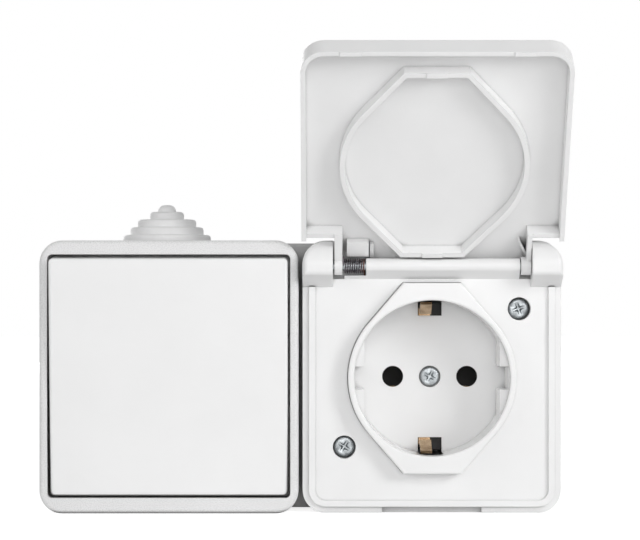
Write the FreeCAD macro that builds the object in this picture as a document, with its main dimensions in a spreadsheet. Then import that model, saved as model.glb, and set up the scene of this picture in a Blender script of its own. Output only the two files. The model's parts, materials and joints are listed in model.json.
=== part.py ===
import FreeCAD, Part
import math
import os
import Sketcher

# Outdoor rocker switch and earthed socket with a sprung lid, side by side on one common back box.
# X runs to the right, Z up and Y into the wall. The wall is the plane Y = 0, and every "depth" below
# is a distance from the wall towards the viewer. The lid stands open and the rocker's foot is pressed.

SIZES = {
    "unit_width": 65.0,
    "unit_height": 68.5,
    "unit_gap": 1.0,
    "corner_radius": 5.8,
    "skirt_wall": 1.5,
    "fit_gap": 0.2,
    "box_inset": 0.45,
    "box_depth": 26.0,
    "lip_height": 2.0,
    "box_wall": 2.0,
    "box_floor": 2.5,
    "middle_web": 14.0,
    "gasket_height": 0.8,
    "wall_hole_pitch": 50.0,
    "wall_hole_radius": 2.25,
    "post_radius": 3.2,
    "pilot_radius": 1.25,
    "pilot_length": 12.0,
    "screw_head_radius": 2.35,
    "screw_head_height": 1.5,
    "recess_slot": 0.7,
    "terminal_screw_length": 4.0,
    "gland_offset": 2.0,
    "gland_depth": 14.0,
    "gland_tip_radius": 2.35,
    "gland_radius_two": 4.4,
    "gland_radius_three": 7.6,
    "gland_radius_four": 9.5,
    "gland_base_radius": 11.4,
    "gland_neck_radius": 8.9,
    "gland_inner_radius": 10.4,
    "gland_step": 2.0,
    "gland_base_height": 2.4,
    "gland_wall": 1.3,
    "gland_rounding": 0.6,
    "frame_height": 14.0,
    "frame_rounding": 1.1,
    "frame_floor": 2.0,
    "frame_border": 2.05,
    "frame_band": 3.75,
    "recess_radius": 1.2,
    "recess_depth": 7.0,
    "rocker_centre": 0.2,
    "floor_border": 8.85,
    "frame_screw_inset": 5.45,
    "plate_gap": 0.65,
    "plate_radius": 1.1,
    "plate_rise": 1.3,
    "plate_rib": 19.0,
    "plate_wall": 1.6,
    "plate_skirt": 4.6,
    "plate_rounding": 0.7,
    "rocker_tilt": 5.0,
    "pivot_drop": 3.7,
    "trunnion_radius": 1.3,
    "running_gap": 0.05,
    "carrier_half_width": 14.0,
    "carrier_half_height": 9.0,
    "carrier_thickness": 3.0,
    "nose_half": 2.6,
    "nose_bore": 1.6,
    "plunger_reach": 19.0,
    "plunger_gap": 1.0,
    "plunger_bore": 11.0,
    "arm_half_length": 9.0,
    "arm_half_width": 2.6,
    "arm_tip": 6.0,
    "rivet_radius": 1.2,
    "rivet_height": 0.8,
    "strip_thickness": 0.8,
    "core_gap": 0.6,
    "core_half_height": 21.5,
    "chamber_half_width": 8.0,
    "chamber_half_height": 19.0,
    "chamber_floor": 9.0,
    "bearing_half_height": 2.6,
    "bearing_width": 2.6,
    "bearing_rise": 0.6,
    "ear_thickness": 3.0,
    "ear_gap": 1.4,
    "switch_ear_rise": 10.5,
    "ear_half_height": 3.6,
    "cover_height": 11.0,
    "panel_wall": 2.2,
    "trough_depth": 4.7,
    "ledge_width": 1.6,
    "ridge_width": 1.6,
    "ridge_height": 0.9,
    "finger_notch_width": 25.0,
    "finger_notch_depth": 1.2,
    "well_centre": -0.3,
    "island_radius": 21.1,
    "island_half_height": 23.9,
    "slant_angle": 40.8,
    "island_rise": 4.5,
    "seam_gap": 0.15,
    "flange_reach": 1.5,
    "well_radius": 19.5,
    "well_depth": 17.5,
    "well_wall": 1.4,
    "well_floor": 1.8,
    "guide_offset": 17.0,
    "guide_notch": 5.8,
    "guide_drop": 3.0,
    "pin_pitch": 19.0,
    "pin_hole_radius": 2.7,
    "centre_bore_radius": 2.75,
    "centre_bore_depth": 0.9,
    "window_half_width": 3.05,
    "window_reach": 15.6,
    "window_drop": 5.5,
    "clip_width": 2.9,
    "clip_offset": 1.3,
    "clip_bulge": 16.4,
    "bracket_half_width": 3.5,
    "bracket_gap": 0.6,
    "core_well_gap": 0.4,
    "socket_core_half_width": 17.6,
    "socket_core_half_height": 19.0,
    "cover_screw_x": 22.0,
    "cover_screw_z": 17.4,
    "counterbore_radius": 2.9,
    "counterbore_depth": 4.0,
    "boss_radius": 4.1,
    "contact_gap": 6.6,
    "contact_foot": 7.5,
    "contact_reach": 6.0,
    "contact_rise": 3.0,
    "terminal_drop": 11.0,
    "terminal_end": 3.0,
    "terminal_half_width": 3.0,
    "earth_terminal_near": 8.0,
    "earth_terminal_width": 6.0,
    "earth_leg_back": 8.0,
    "hinge_rise": 1.3,
    "hinge_inset": 6.4,
    "block_width": 7.6,
    "block_radius": 6.05,
    "block_front_drop": 1.75,
    "block_drop": 5.25,
    "block_rounding": 1.3,
    "rail_drop": 3.25,
    "rail_radius": 1.9,
    "rail_slant": 37.0,
    "hinge_slot": 2.9,
    "spring_pocket": 5.45,
    "boss_gap": 0.6,
    "hinge_pin_radius": 1.1,
    "hinge_pin_seat": 5.0,
    "lid_overhang": 0.2,
    "lid_end_gap": 0.15,
    "lid_cover": 5.7,
    "lid_wall": 2.0,
    "lid_rim_wall": 1.2,
    "lid_rim_gap": 0.4,
    "ridge_clearance": 0.3,
    "lid_step": 8.5,
    "lid_rim_foot": 8.0,
    "lid_step_wall": 1.25,
    "lid_tongue": 1.0,
    "lid_rounding": 1.2,
    "lid_opening": 145.0,
    "arm_thickness": 1.2,
    "spring_arm_thickness": 2.0,
    "arm_side_gap": 0.4,
    "arm_far_gap": 0.15,
    "arm_boss_width": 2.5,
    "arm_boss_radius": 2.3,
    "seal_gap": 0.9,
    "seal_stretch": 0.4,
    "seal_shift": 0.8,
    "seal_wall": 1.3,
    "seal_height": 3.5,
    "spring_radius": 1.68,
    "spring_wire": 0.27,
    "spring_pitch": 0.64,
    "spring_turns": 8.0,
    "spring_gap": 0.45,
    "abutment_gap": 1.1,
    "abutment_width": 5.5,
    "abutment_near": 1.7,
    "abutment_far": 5.9,
    "abutment_height": 2.1,
    "lid_tab_gap": 0.3,
    "lid_tab_width": 1.0,
    "lid_tab_height": 1.2,
    "lid_tab_near": 0.4,
    "lid_tab_far": 4.9,
    "gusset_width": 1.95,
    "gusset_near": 1.6,
    "gusset_far": 6.4,
    "gusset_height": 1.8,
    "gusset_wall": 0.6,
    "pad_width": 5.1,
    "pad_rise": 0.3,
    "pad_offset": 20.8,
}

doc = FreeCAD.newDocument("weatherproof_switch_and_socket")
sheet = doc.addObject("Spreadsheet::Sheet", "Sizes")
for row, (alias, size) in enumerate(SIZES.items(), start=1):
    sheet.set(f"A{row}", alias)
    sheet.set(f"B{row}", str(size))
    sheet.setAlias(f"B{row}", alias)
doc.recompute()


class Dim:
    """A size with its value and the sheet expression that keeps it up to date."""

    def __init__(self, value, text=None):
        self.value = float(value)
        self.text = text or repr(float(value))

    def __add__(self, other):
        other = dim(other)
        return Dim(self.value + other.value, f"({self.text} + {other.text})")

    def __sub__(self, other):
        other = dim(other)
        return Dim(self.value - other.value, f"({self.text} - {other.text})")

    def __mul__(self, other):
        other = dim(other)
        return Dim(self.value * other.value, f"({self.text} * {other.text})")

    def __truediv__(self, other):
        other = dim(other)
        return Dim(self.value / other.value, f"({self.text} / {other.text})")

    def __neg__(self):
        return Dim(-self.value, f"(0 - {self.text})")

    def __radd__(self, other):
        return dim(other) + self

    def __rsub__(self, other):
        return dim(other) - self

    def __rmul__(self, other):
        return dim(other) * self


def dim(size):
    return size if isinstance(size, Dim) else Dim(size)


def sine(angle):
    return Dim(math.sin(math.radians(angle.value)), f"sin({angle.text} * 1 deg)")


def cosine(angle):
    return Dim(math.cos(math.radians(angle.value)), f"cos({angle.text} * 1 deg)")


def root(size):
    return Dim(math.sqrt(size.value), f"sqrt({size.text})")


class Named:
    """The sheet's sizes by name."""

    def __getattr__(self, name):
        return Dim(SIZES[name], f"Sizes.{name}")


D = Named()


def bind(thing, prop, size):
    """Ties a property to the sheet."""
    size = dim(size)
    thing.setExpression(prop, size.text)


class Drawing:
    """Collects the lines, arcs and constraints of one sketch."""

    def __init__(self):
        self.shapes = []
        self.rules = []
        self.measured = []

    def line(self, start, end):
        ends = [FreeCAD.Vector(dim(a).value, dim(b).value, 0) for a, b in (start, end)]
        self.shapes.append(Part.LineSegment(*ends))
        return len(self.shapes) - 1

    def arc(self, centre, radius, start, end):
        middle = FreeCAD.Vector(dim(centre[0]).value, dim(centre[1]).value, 0)
        circle = Part.Circle(middle, FreeCAD.Vector(0, 0, 1), dim(radius).value)
        self.shapes.append(Part.ArcOfCircle(circle, math.radians(start), math.radians(end)))
        return len(self.shapes) - 1

    def circle(self, centre, radius):
        middle = FreeCAD.Vector(dim(centre[0]).value, dim(centre[1]).value, 0)
        self.shapes.append(Part.Circle(middle, FreeCAD.Vector(0, 0, 1), dim(radius).value))
        return len(self.shapes) - 1

    def rule(self, *parts):
        self.rules.append(Sketcher.Constraint(*parts))

    def measure(self, kind, *parts):
        size = dim(parts[-1])
        self.measured.append((len(self.rules), size))
        self.rules.append(Sketcher.Constraint(kind, *parts[:-1], size.value))

    def place(self, shape, end, point):
        self.measure("DistanceX", shape, end, point[0])
        self.measure("DistanceY", shape, end, point[1])

    def write(self, sketch):
        sketch.addGeometry(self.shapes, False)
        sketch.addConstraint(self.rules)
        for index, size in self.measured:
            if "Sizes." in size.text:
                name = f"size_{index}"
                sketch.renameConstraint(index, name)
                sketch.setExpression(f"Constraints.{name}", size.text)


def polygon(*points):
    """Outline of straight lines through the points."""

    def draw(d):
        first = len(d.shapes)
        count = len(points)
        for start, end in zip(points, points[1:] + points[:1]):
            d.line(start, end)
        for index in range(count):
            d.rule("Coincident", first + index, 2, first + (index + 1) % count, 1)
            d.place(first + index, 1, points[index])

    return draw


def box_outline(x_low, x_high, z_low, z_high):
    return polygon((x_low, z_low), (x_high, z_low), (x_high, z_high), (x_low, z_high))


def circle(centre, radius):
    def draw(d):
        shape = d.circle(centre, radius)
        d.place(shape, 3, centre)
        d.measure("Radius", shape, radius)

    return draw


def rounded(x_low, x_high, z_low, z_high, radius):
    """Rectangle with rounded corners."""
    x_low, x_high, z_low, z_high, radius = [dim(each) for each in (x_low, x_high, z_low, z_high, radius)]

    def draw(d):
        left, right = x_low + radius, x_high - radius
        foot, top = z_low + radius, z_high - radius
        lines = []
        arcs = []
        lines.append(d.line((left, z_low), (right, z_low)))
        arcs.append(d.arc((right, foot), radius, -90, 0))
        lines.append(d.line((x_high, foot), (x_high, top)))
        arcs.append(d.arc((right, top), radius, 0, 90))
        lines.append(d.line((right, z_high), (left, z_high)))
        arcs.append(d.arc((left, top), radius, 90, 180))
        lines.append(d.line((x_low, top), (x_low, foot)))
        arcs.append(d.arc((left, foot), radius, 180, 270))
        for index in range(4):
            d.rule("Tangent", lines[index], 2, arcs[index], 1)
            d.rule("Tangent", arcs[index], 2, lines[(index + 1) % 4], 1)
            d.rule("Horizontal" if index % 2 == 0 else "Vertical", lines[index])
        for arc in arcs[1:]:
            d.rule("Equal", arcs[0], arc)
        d.measure("Radius", arcs[0], radius)
        d.measure("DistanceY", lines[0], 1, z_low)
        d.measure("DistanceX", lines[1], 1, x_high)
        d.measure("DistanceY", lines[2], 1, z_high)
        d.measure("DistanceX", lines[3], 1, x_low)

    return draw


def shoulder(outer, inner, z_low, z_high, radius):
    """Rectangle whose upper corner on the outer side is rounded."""
    outwards = 1 if outer.value > inner.value else -1
    turn = (0, 90) if outwards > 0 else (90, 180)
    bend = outer - outwards * radius

    def draw(d):
        foot = d.line((inner, z_low), (outer, z_low))
        side = d.line((outer, z_low), (outer, z_high - radius))
        arc = d.arc((bend, z_high - radius), radius, *turn)
        top = d.line((bend, z_high), (inner, z_high))
        end = d.line((inner, z_high), (inner, z_low))
        arc_start, arc_end = (1, 2) if outwards > 0 else (2, 1)
        d.rule("Coincident", foot, 2, side, 1)
        d.rule("Tangent", side, 2, arc, arc_start)
        d.rule("Tangent", arc, arc_end, top, 1)
        d.rule("Coincident", top, 2, end, 1)
        d.rule("Coincident", end, 2, foot, 1)
        d.rule("Vertical", side)
        d.rule("Horizontal", top)
        d.measure("Radius", arc, radius)
        d.place(foot, 1, (inner, z_low))
        d.place(foot, 2, (outer, z_low))
        d.place(end, 1, (inner, z_high))

    return draw


def island(centre, radius, half):
    """Round plate with a flat top and foot at half a height, joined to it by slants."""
    x, z = centre
    flat = (radius - half * sine(D.slant_angle)) / cosine(D.slant_angle)

    def draw(d):
        turn = D.slant_angle.value
        side = radius * cosine(D.slant_angle)
        rise = radius * sine(D.slant_angle)
        right = d.arc(centre, radius, -turn, turn)
        d.line((x + side, z + rise), (x + flat, z + half))
        top = d.line((x + flat, z + half), (x - flat, z + half))
        d.line((x - flat, z + half), (x - side, z + rise))
        left = d.arc(centre, radius, 180 - turn, 180 + turn)
        d.line((x - side, z - rise), (x - flat, z - half))
        foot = d.line((x - flat, z - half), (x + flat, z - half))
        d.line((x + flat, z - half), (x + side, z - rise))
        for shape, after in ((right, right + 1), (top + 1, left), (left, left + 1), (foot + 1, right)):
            d.rule("Tangent", shape, 2, after, 1)
        for shape in (right + 1, top, left + 1, foot):
            d.rule("Coincident", shape, 2, shape + 1, 1)
        d.rule("Horizontal", top)
        d.rule("Horizontal", foot)
        d.place(right, 3, centre)
        d.rule("Coincident", right, 3, left, 3)
        d.measure("Radius", right, radius)
        d.rule("Equal", right, left)
        d.place(top, 1, (x + flat, z + half))
        d.measure("DistanceX", top, 2, x - flat)
        d.place(foot, 1, (x - flat, z - half))
        d.measure("DistanceX", foot, 2, x + flat)

    return draw


def beyond_quarter(centre, radius, margin):
    """Corner in front of and above a quarter circle, in a side view."""
    a, b = centre
    front, top = a - radius - margin, b + radius + margin

    def draw(d):
        arc = d.arc(centre, radius, 90, 180)
        points = [(a - radius, b), (front, b), (front, top), (a, top), (a, b + radius)]
        lines = [d.line(start, end) for start, end in zip(points, points[1:])]
        d.place(arc, 3, centre)
        d.measure("Radius", arc, radius)
        d.rule("Coincident", arc, 2, lines[0], 1)
        d.measure("DistanceY", lines[0], 1, b)
        for line, after, point in zip(lines, lines[1:], points[1:]):
            d.rule("Coincident", line, 2, after, 1)
            d.place(after, 1, point)
        d.rule("Coincident", lines[-1], 2, arc, 1)
        d.measure("DistanceX", lines[-1], 2, a)

    return draw


def rail_outline(foot, back, front, centre, radius):
    """Side view of the rail: a level back half, a round hump about the hinge axis and a slanted face."""
    a, b = centre
    tip = (a - radius * cosine(D.rail_slant), b - radius * sine(D.rail_slant))

    def draw(d):
        hump = d.arc(centre, radius, 0, 180 + D.rail_slant.value)
        points = [tip, (-front, foot), (-back, foot), (-back, b), (a + radius, b)]
        lines = [d.line(start, end) for start, end in zip(points, points[1:])]
        d.place(hump, 3, centre)
        d.measure("Radius", hump, radius)
        d.rule("Coincident", hump, 2, lines[0], 1)
        d.measure("DistanceX", lines[0], 1, tip[0])
        for line, after, point in zip(lines, lines[1:], points[1:]):
            d.rule("Coincident", line, 2, after, 1)
            d.place(after, 1, point)
        d.rule("Coincident", lines[-1], 2, hump, 1)
        d.measure("DistanceY", lines[-1], 2, b)

    return draw


def guided_well(centre):
    """Round well whose sides are narrowed by two flat guides, each with a notch in its middle."""
    x, z = centre
    radius = D.well_radius
    guide = D.guide_offset
    notch = D.guide_notch / 2
    groove = radius - 0.25

    def draw(d):
        turn = math.degrees(math.acos(guide.value / radius.value))
        rise = root(radius * radius - guide * guide)
        top = d.arc(centre, radius, turn, 180 - turn)
        left = [(-guide, rise), (-guide, notch), (-groove, notch),
                (-groove, -notch), (-guide, -notch), (-guide, -rise)]
        right = [(guide, -rise), (guide, -notch), (groove, -notch),
                 (groove, notch), (guide, notch), (guide, rise)]
        chains = []
        for chain in (left, right):
            points = [(x + a, z + b) for a, b in chain]
            chains.append([d.line(start, end) for start, end in zip(points, points[1:])])
            if chain is left:
                foot = d.arc(centre, radius, 180 + turn, 360 - turn)
        order = [top] + chains[0] + [foot] + chains[1]
        for shape, after in zip(order, order[1:] + order[:1]):
            d.rule("Coincident", shape, 2, after, 1)
        for lines, sign in zip(chains, (-1, 1)):
            for line in lines[::2]:
                d.rule("Vertical", line)
            for line, height in ((lines[1], -sign * notch), (lines[3], sign * notch)):
                d.rule("Horizontal", line)
                d.measure("DistanceY", line, 1, z + height)
            d.measure("DistanceX", lines[0], 1, x + sign * guide)
            d.measure("DistanceX", lines[2], 1, x + sign * groove)
            d.measure("DistanceX", lines[4], 1, x + sign * guide)
        d.place(top, 3, centre)
        d.rule("Coincident", top, 3, foot, 3)
        d.measure("Radius", top, radius)
        d.rule("Equal", top, foot)

    return draw


def strip(points, thickness):
    """Outline of a bent strip, from the line along its middle."""
    half = dim(thickness).value / 2
    path = [FreeCAD.Vector(dim(a).value, dim(b).value, 0) for a, b in points]
    sides = ([], [])
    for index, point in enumerate(path):
        before = (point - path[index - 1]).normalize() if index else None
        after = (path[index + 1] - point).normalize() if index + 1 < len(path) else None
        along = before or after
        normal = FreeCAD.Vector(-along.y, along.x, 0)
        reach = half
        if before and after:
            middle = (before + after).normalize()
            normal = FreeCAD.Vector(-middle.y, middle.x, 0)
            reach = half / middle.dot(after)
        offset = normal * (reach / half)
        for side, sign in zip(sides, (1, -1)):
            move = dim(thickness) / 2 * sign
            side.append((dim(points[index][0]) + move * offset.x, dim(points[index][1]) + move * offset.y))
    return polygon(*(sides[0] + sides[1][::-1]))


PLANES = {"front": "XZ_Plane", "side": "YZ_Plane", "top": "XY_Plane"}


class Piece:
    """One piece of the product, built from sketches parallel to the wall, to its side or to its top."""

    made = []

    def __init__(self, label):
        self.body = doc.addObject("PartDesign::Body", label)
        self.body.Label = label
        self.count = 0
        Piece.made.append(self.body)

    def sketch(self, plane, offset, outlines, origin=(0, 0)):
        self.count += 1
        sketch = self.body.newObject("Sketcher::SketchObject", f"{self.body.Label}_outline_{self.count}")
        base = next(each for each in self.body.Origin.OriginFeatures if each.Role == PLANES[plane])
        sketch.AttachmentSupport = [(base, "")]
        sketch.MapMode = "FlatFace"
        for axis, size in zip("xyz", (*origin, offset)):
            bind(sketch, f"AttachmentOffset.Base.{axis}", size)
        drawing = Drawing()
        for outline in outlines:
            outline(drawing)
        drawing.write(sketch)
        return sketch

    def feature(self, kind, sketch, length=None, towards_viewer=True):
        feature = self.body.newObject(kind, f"{self.body.Label}_step_{self.count}")
        feature.Profile = sketch
        if length is not None:
            bind(feature, "Length", length)
        feature.Reversed = not towards_viewer
        self.body.Tip = feature
        sketch.Visibility = False
        return feature

    def pad(self, start, end, *outlines):
        """Adds the outlines between two depths."""
        return self.feature("PartDesign::Pad", self.sketch("front", start, outlines), dim(end) - start)

    def pocket(self, start, end, *outlines):
        """Cuts the outlines from the nearer depth back to the further one."""
        return self.feature("PartDesign::Pocket", self.sketch("front", start, outlines), dim(start) - end)

    def pad_across(self, left, right, *outlines):
        """Adds a side view, given as (-depth, height), between two places along X."""
        return self.feature("PartDesign::Pad", self.sketch("side", left, outlines), dim(right) - left)

    def pocket_across(self, left, right, *outlines):
        """Cuts a side view between two places along X."""
        return self.feature("PartDesign::Pocket", self.sketch("side", right, outlines), dim(right) - left)

    def pad_up(self, foot, top, *outlines):
        """Adds a top view, given as (x, -depth), between two heights."""
        return self.feature("PartDesign::Pad", self.sketch("top", foot, outlines), dim(top) - foot)

    def pocket_down(self, foot, top, *outlines):
        """Cuts a top view between two heights."""
        return self.feature("PartDesign::Pocket", self.sketch("top", top, outlines), dim(top) - foot)

    def revolve(self, plane, offset, origin, outline, axis):
        sketch = self.sketch(plane, offset, [outline], origin)
        turned = self.feature("PartDesign::Revolution", sketch)
        turned.ReferenceAxis = (sketch, [axis])
        turned.Angle = 360
        return turned

    def round_edges(self, radius, test, kind="PartDesign::Fillet"):
        """Rounds the edges of the last step that pass the test."""
        doc.recompute()
        tip = self.body.Tip
        names = [f"Edge{n}" for n, edge in enumerate(tip.Shape.Edges, start=1) if test(edge)]
        self.count += 1
        fillet = self.body.newObject(kind, f"{self.body.Label}_rounding_{self.count}")
        fillet.Base = (tip, names)
        bind(fillet, "Radius" if kind.endswith("Fillet") else "Size", radius)
        self.body.Tip = fillet
        return fillet


def at_depth(depth):
    """Test for edges that lie wholly at one depth."""

    def test(edge):
        box = edge.BoundBox
        return abs(box.YMin + dim(depth).value) < 0.01 and abs(box.YMax + dim(depth).value) < 0.01

    return test


def all_of(*tests):
    return lambda edge: all(test(edge) for test in tests)


def outside(x_low, x_high, z_low, z_high, slack=0.05):
    """Test for edges that touch or pass the border of a rectangle."""

    def test(edge):
        box = edge.BoundBox
        return (box.XMax > dim(x_high).value - slack or box.XMin < dim(x_low).value + slack
                or box.ZMax > dim(z_high).value - slack or box.ZMin < dim(z_low).value + slack)

    return test


def screw(x, z, head_back, shank_end, head_radius, shank_radius, countersunk=False):
    """Cross-recess screw with its axis along Y. Its head starts at head_back."""
    head = D.screw_head_height.value
    place = FreeCAD.Vector(dim(x).value, -dim(head_back).value, dim(z).value)
    out = FreeCAD.Vector(0, -1, 0)
    length = dim(head_back).value - dim(shank_end).value
    if countersunk:
        cap = Part.makeCone(dim(shank_radius).value, dim(head_radius).value, head, place, out)
    else:
        cap = Part.makeCylinder(dim(head_radius).value, head, place, out)
        rim = [edge for edge in cap.Edges if abs(edge.BoundBox.YMax + dim(head_back).value + head) < 1e-6]
        cap = cap.makeFillet(head / 3, rim)
    shank = Part.makeCylinder(dim(shank_radius).value, length, place, FreeCAD.Vector(0, 1, 0))
    slot = D.recess_slot.value
    reach = dim(head_radius).value * 1.25
    depth = head * 0.7
    corner = FreeCAD.Vector(place.x - reach / 2, place.y - head - 0.01, place.z - slot / 2)
    level = Part.makeBox(reach, depth, slot, corner)
    corner = FreeCAD.Vector(place.x - slot / 2, place.y - head - 0.01, place.z - reach / 2)
    upright = Part.makeBox(slot, depth, reach, corner)
    return cap.fuse(shank).removeSplitter().cut([level, upright])


def group(label, solids):
    """Separate solids that share one node."""
    feature = doc.addObject("Part::Feature", label)
    feature.Label = label
    feature.Shape = solids[0] if len(solids) == 1 else Part.makeCompound(solids)
    Piece.made.append(feature)
    return feature


# Places that several pieces share
unit_pitch = D.unit_width + D.unit_gap
switch_x = -unit_pitch / 2
socket_x = unit_pitch / 2
half_width = D.unit_width / 2
half_height = D.unit_height / 2
lip_half_width = half_width - D.skirt_wall - D.fit_gap
lip_half_height = half_height - D.skirt_wall - D.fit_gap
lip_radius = D.corner_radius - D.skirt_wall - D.fit_gap
lip_front = D.box_depth + D.lip_height
gasket_front = lip_front + D.gasket_height
core_back = D.box_floor
skirt_back = D.box_depth + D.fit_gap
frame_front = D.box_depth + D.frame_height
recess_half_width = half_width - D.frame_border
recess_half_height = half_height - D.frame_band
opening_half = recess_half_width - D.floor_border
plate_front = frame_front + D.plate_rise
pivot_depth = plate_front - D.pivot_drop
arm_rise = pivot_depth - D.plunger_reach - D.plunger_gap
panel_front = D.box_depth + D.cover_height
island_front = panel_front + D.island_rise
hinge_depth = panel_front + D.hinge_rise
hinge_height = half_height - D.hinge_inset
block_front = hinge_depth + D.block_radius
block_top = hinge_height + D.block_radius
block_foot = hinge_height - D.block_drop
block_front_foot = hinge_height - D.block_front_drop
rail_foot = hinge_height - D.rail_drop
lid_front = hinge_depth + D.lid_cover
lid_rim_depth = panel_front + D.lid_rim_gap
well_middle = (socket_x, D.well_centre)
well_floor_front = island_front - D.well_depth
well_floor_back = well_floor_front - D.well_floor
panel_back = panel_front - D.panel_wall
trough_front = panel_front - D.trough_depth
box_top = half_height - D.box_inset
gland_x = switch_x - D.gland_offset
frame_floor_front = frame_front - D.recess_depth
frame_floor_back = frame_floor_front - D.frame_floor
core_front = frame_floor_back - D.core_gap
core_half_width = opening_half - D.core_gap
cavity_half_width = lip_half_width - D.box_wall
frame_screw_offset = recess_half_width - D.frame_screw_inset
frame_screws_at = [(switch_x - frame_screw_offset, dim(0)), (switch_x + frame_screw_offset, dim(0))]
cover_screws_at = [(socket_x + sign * D.cover_screw_x, D.well_centre + sign * D.cover_screw_z)
                   for sign in (-1, 1)]
switch_ears_at = [(sign, core_half_width, sign * D.switch_ear_rise, switch_x) for sign in (-1, 1)]
socket_ears_at = [(sign, D.socket_core_half_width, dim(0), socket_x) for sign in (-1, 1)]
bracket_back = well_floor_back - D.bracket_gap - D.strip_thickness
earth_terminal = (-(bracket_back + D.earth_leg_back) / 2,
                  D.well_centre + D.earth_terminal_near + D.earth_terminal_width / 2)


def ear_middle(sign, half, x):
    """Place along X of an ear's screw, halfway between the core's side and the ear's end."""
    return x + sign * (half + cavity_half_width - D.ear_gap) / 2


def unit_outline(x, inset, radius):
    low, high = inset - half_height, half_height - inset
    return rounded(x - half_width + inset, x + half_width - inset, low, high, radius)


def island_grown(offset):
    return island(well_middle, D.island_radius + offset, D.island_half_height + offset)


def lip_outline(x, inset):
    return unit_outline(x, D.skirt_wall + D.fit_gap + inset, lip_radius - inset)


def make_back_box():
    box = Piece("back_box")
    side = unit_pitch / 2 + half_width - D.box_inset
    box.pad(0, D.box_depth, rounded(-side, side, -box_top, box_top, D.corner_radius - D.box_inset))
    box.pad(D.box_depth, lip_front, lip_outline(switch_x, 0), lip_outline(socket_x, 0))
    box.pocket(lip_front, D.box_floor, lip_outline(switch_x, D.box_wall), lip_outline(socket_x, D.box_wall))
    rib = D.unit_gap / 2 + D.skirt_wall + D.fit_gap
    tall = lip_half_height - D.box_wall - 4
    solid = D.middle_web / 2
    for low, high in ((-tall, -solid), (solid, tall)):
        box.pocket(D.box_depth - D.box_wall, 0, box_outline(-rib, rib, low, high))
    reach = rib + D.box_wall + 1
    passage = box_outline(-(D.box_floor + 12), -(D.box_floor + 4), -4, 4)
    box.pocket_across(-reach, reach, passage)
    for sign in (-1, 1):
        height = sign * D.wall_hole_pitch / 2
        holes = [circle((x, height), D.wall_hole_radius) for x in (switch_x, socket_x)]
        box.pocket(D.box_floor, 0, *holes)
    posts = [(place, frame_floor_back) for place in frame_screws_at]
    posts += [(place, lip_front) for place in cover_screws_at]
    for place, top in posts:
        box.pad(D.box_floor, top, circle(place, D.post_radius))
        box.pocket(top, top - D.pilot_length, circle(place, D.pilot_radius))
    for sign, half, z, x in switch_ears_at + socket_ears_at:
        place = (ear_middle(sign, half, x), z)
        box.pocket(D.box_floor, D.box_floor - 2, circle(place, D.pilot_radius))
    bore = circle((gland_x, -D.gland_depth), D.gland_neck_radius)
    box.pocket_down(box_top - D.box_wall * 3, box_top + 1, bore)
    box.round_edges(1.0, all_of(at_depth(D.box_depth), outside(-side, side, -box_top, box_top)))


def make_gland():
    gland = Piece("cable_gland")
    base = box_top
    wall_inside = lip_half_height - D.box_wall
    step = D.gland_step
    first = base + D.gland_base_height
    levels = [first, first + step, first + step * 2, first + step * 3, first + step * 4 - 0.2]
    radii = [D.gland_base_radius, D.gland_radius_four, D.gland_radius_three, D.gland_radius_two,
             D.gland_tip_radius]
    inner = wall_inside - 1.6
    points = [(D.gland_neck_radius - D.gland_wall, inner), (D.gland_inner_radius, inner)]
    points += [(D.gland_inner_radius, wall_inside), (D.gland_neck_radius, wall_inside)]
    points += [(D.gland_neck_radius, base), (radii[0], base), (radii[0], levels[0])]
    for radius, low, high in zip(radii[1:], levels, levels[1:]):
        points += [(radius, low), (radius, high)]
    points += [(dim(0), levels[-1]), (dim(0), levels[-1] - D.gland_wall)]
    points += [(D.gland_radius_two - D.gland_wall * 2, levels[2])]
    points += [(D.gland_radius_three - D.gland_wall * 1.6, levels[1])]
    gland.revolve("front", D.gland_depth, (gland_x, 0), polygon(*points), "V_Axis")
    shoulders = [level.value for level in levels]

    def on_shoulder(edge):
        box = edge.BoundBox
        flat = box.ZLength < 0.01
        convex = any(abs(box.ZMax - level) < 0.01 and abs(box.XLength / 2 - radius.value) < 0.01
                     for level, radius in zip(shoulders, radii))
        return flat and convex

    gland.round_edges(D.gland_rounding, on_shoulder)


def make_gasket(label, x):
    gasket = Piece(label)
    gasket.pad(lip_front, gasket_front, lip_outline(x, 0), lip_outline(x, D.box_wall))


def make_switch_frame():
    frame = Piece("switch_frame")
    x = switch_x
    frame.pad(skirt_back, frame_front, unit_outline(x, 0, D.corner_radius))
    frame.pocket(gasket_front, skirt_back, unit_outline(x, D.skirt_wall, D.corner_radius - D.skirt_wall))
    frame.pocket(frame_floor_back, skirt_back, lip_outline(x, D.box_wall))
    wide, high = recess_half_width, recess_half_height
    z = D.rocker_centre
    recess = rounded(x - wide, x + wide, z - high, z + high, D.recess_radius)
    frame.pocket(frame_front, frame_floor_front, recess)
    half = opening_half
    frame.pocket(frame_floor_front, frame_floor_back, rounded(x - half, x + half, z - half, z + half, 2))
    for place in frame_screws_at:
        frame.pocket(frame_floor_front, frame_floor_back, circle(place, D.pilot_radius + 0.2))
        seat = frame_floor_front - D.screw_head_height
        frame.pocket(frame_floor_front, seat, circle(place, D.screw_head_radius + 0.3))
    border = (x - half_width, x + half_width, -half_height, half_height)
    frame.round_edges(D.frame_rounding, all_of(at_depth(frame_front), outside(*border)))


def add_ears(core, ears):
    for sign, half, z, x in ears:
        near, far = x + sign * (half - 1), x + sign * (cavity_half_width - D.ear_gap)
        low, high = (near, far) if sign > 0 else (far, near)
        ear = box_outline(low, high, z - D.ear_half_height, z + D.ear_half_height)
        core.pad(core_back, core_back + D.ear_thickness, ear)
        place = (ear_middle(sign, half, x), z)
        core.pocket(core_back + D.ear_thickness, core_back, circle(place, D.pilot_radius + 0.2))


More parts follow.
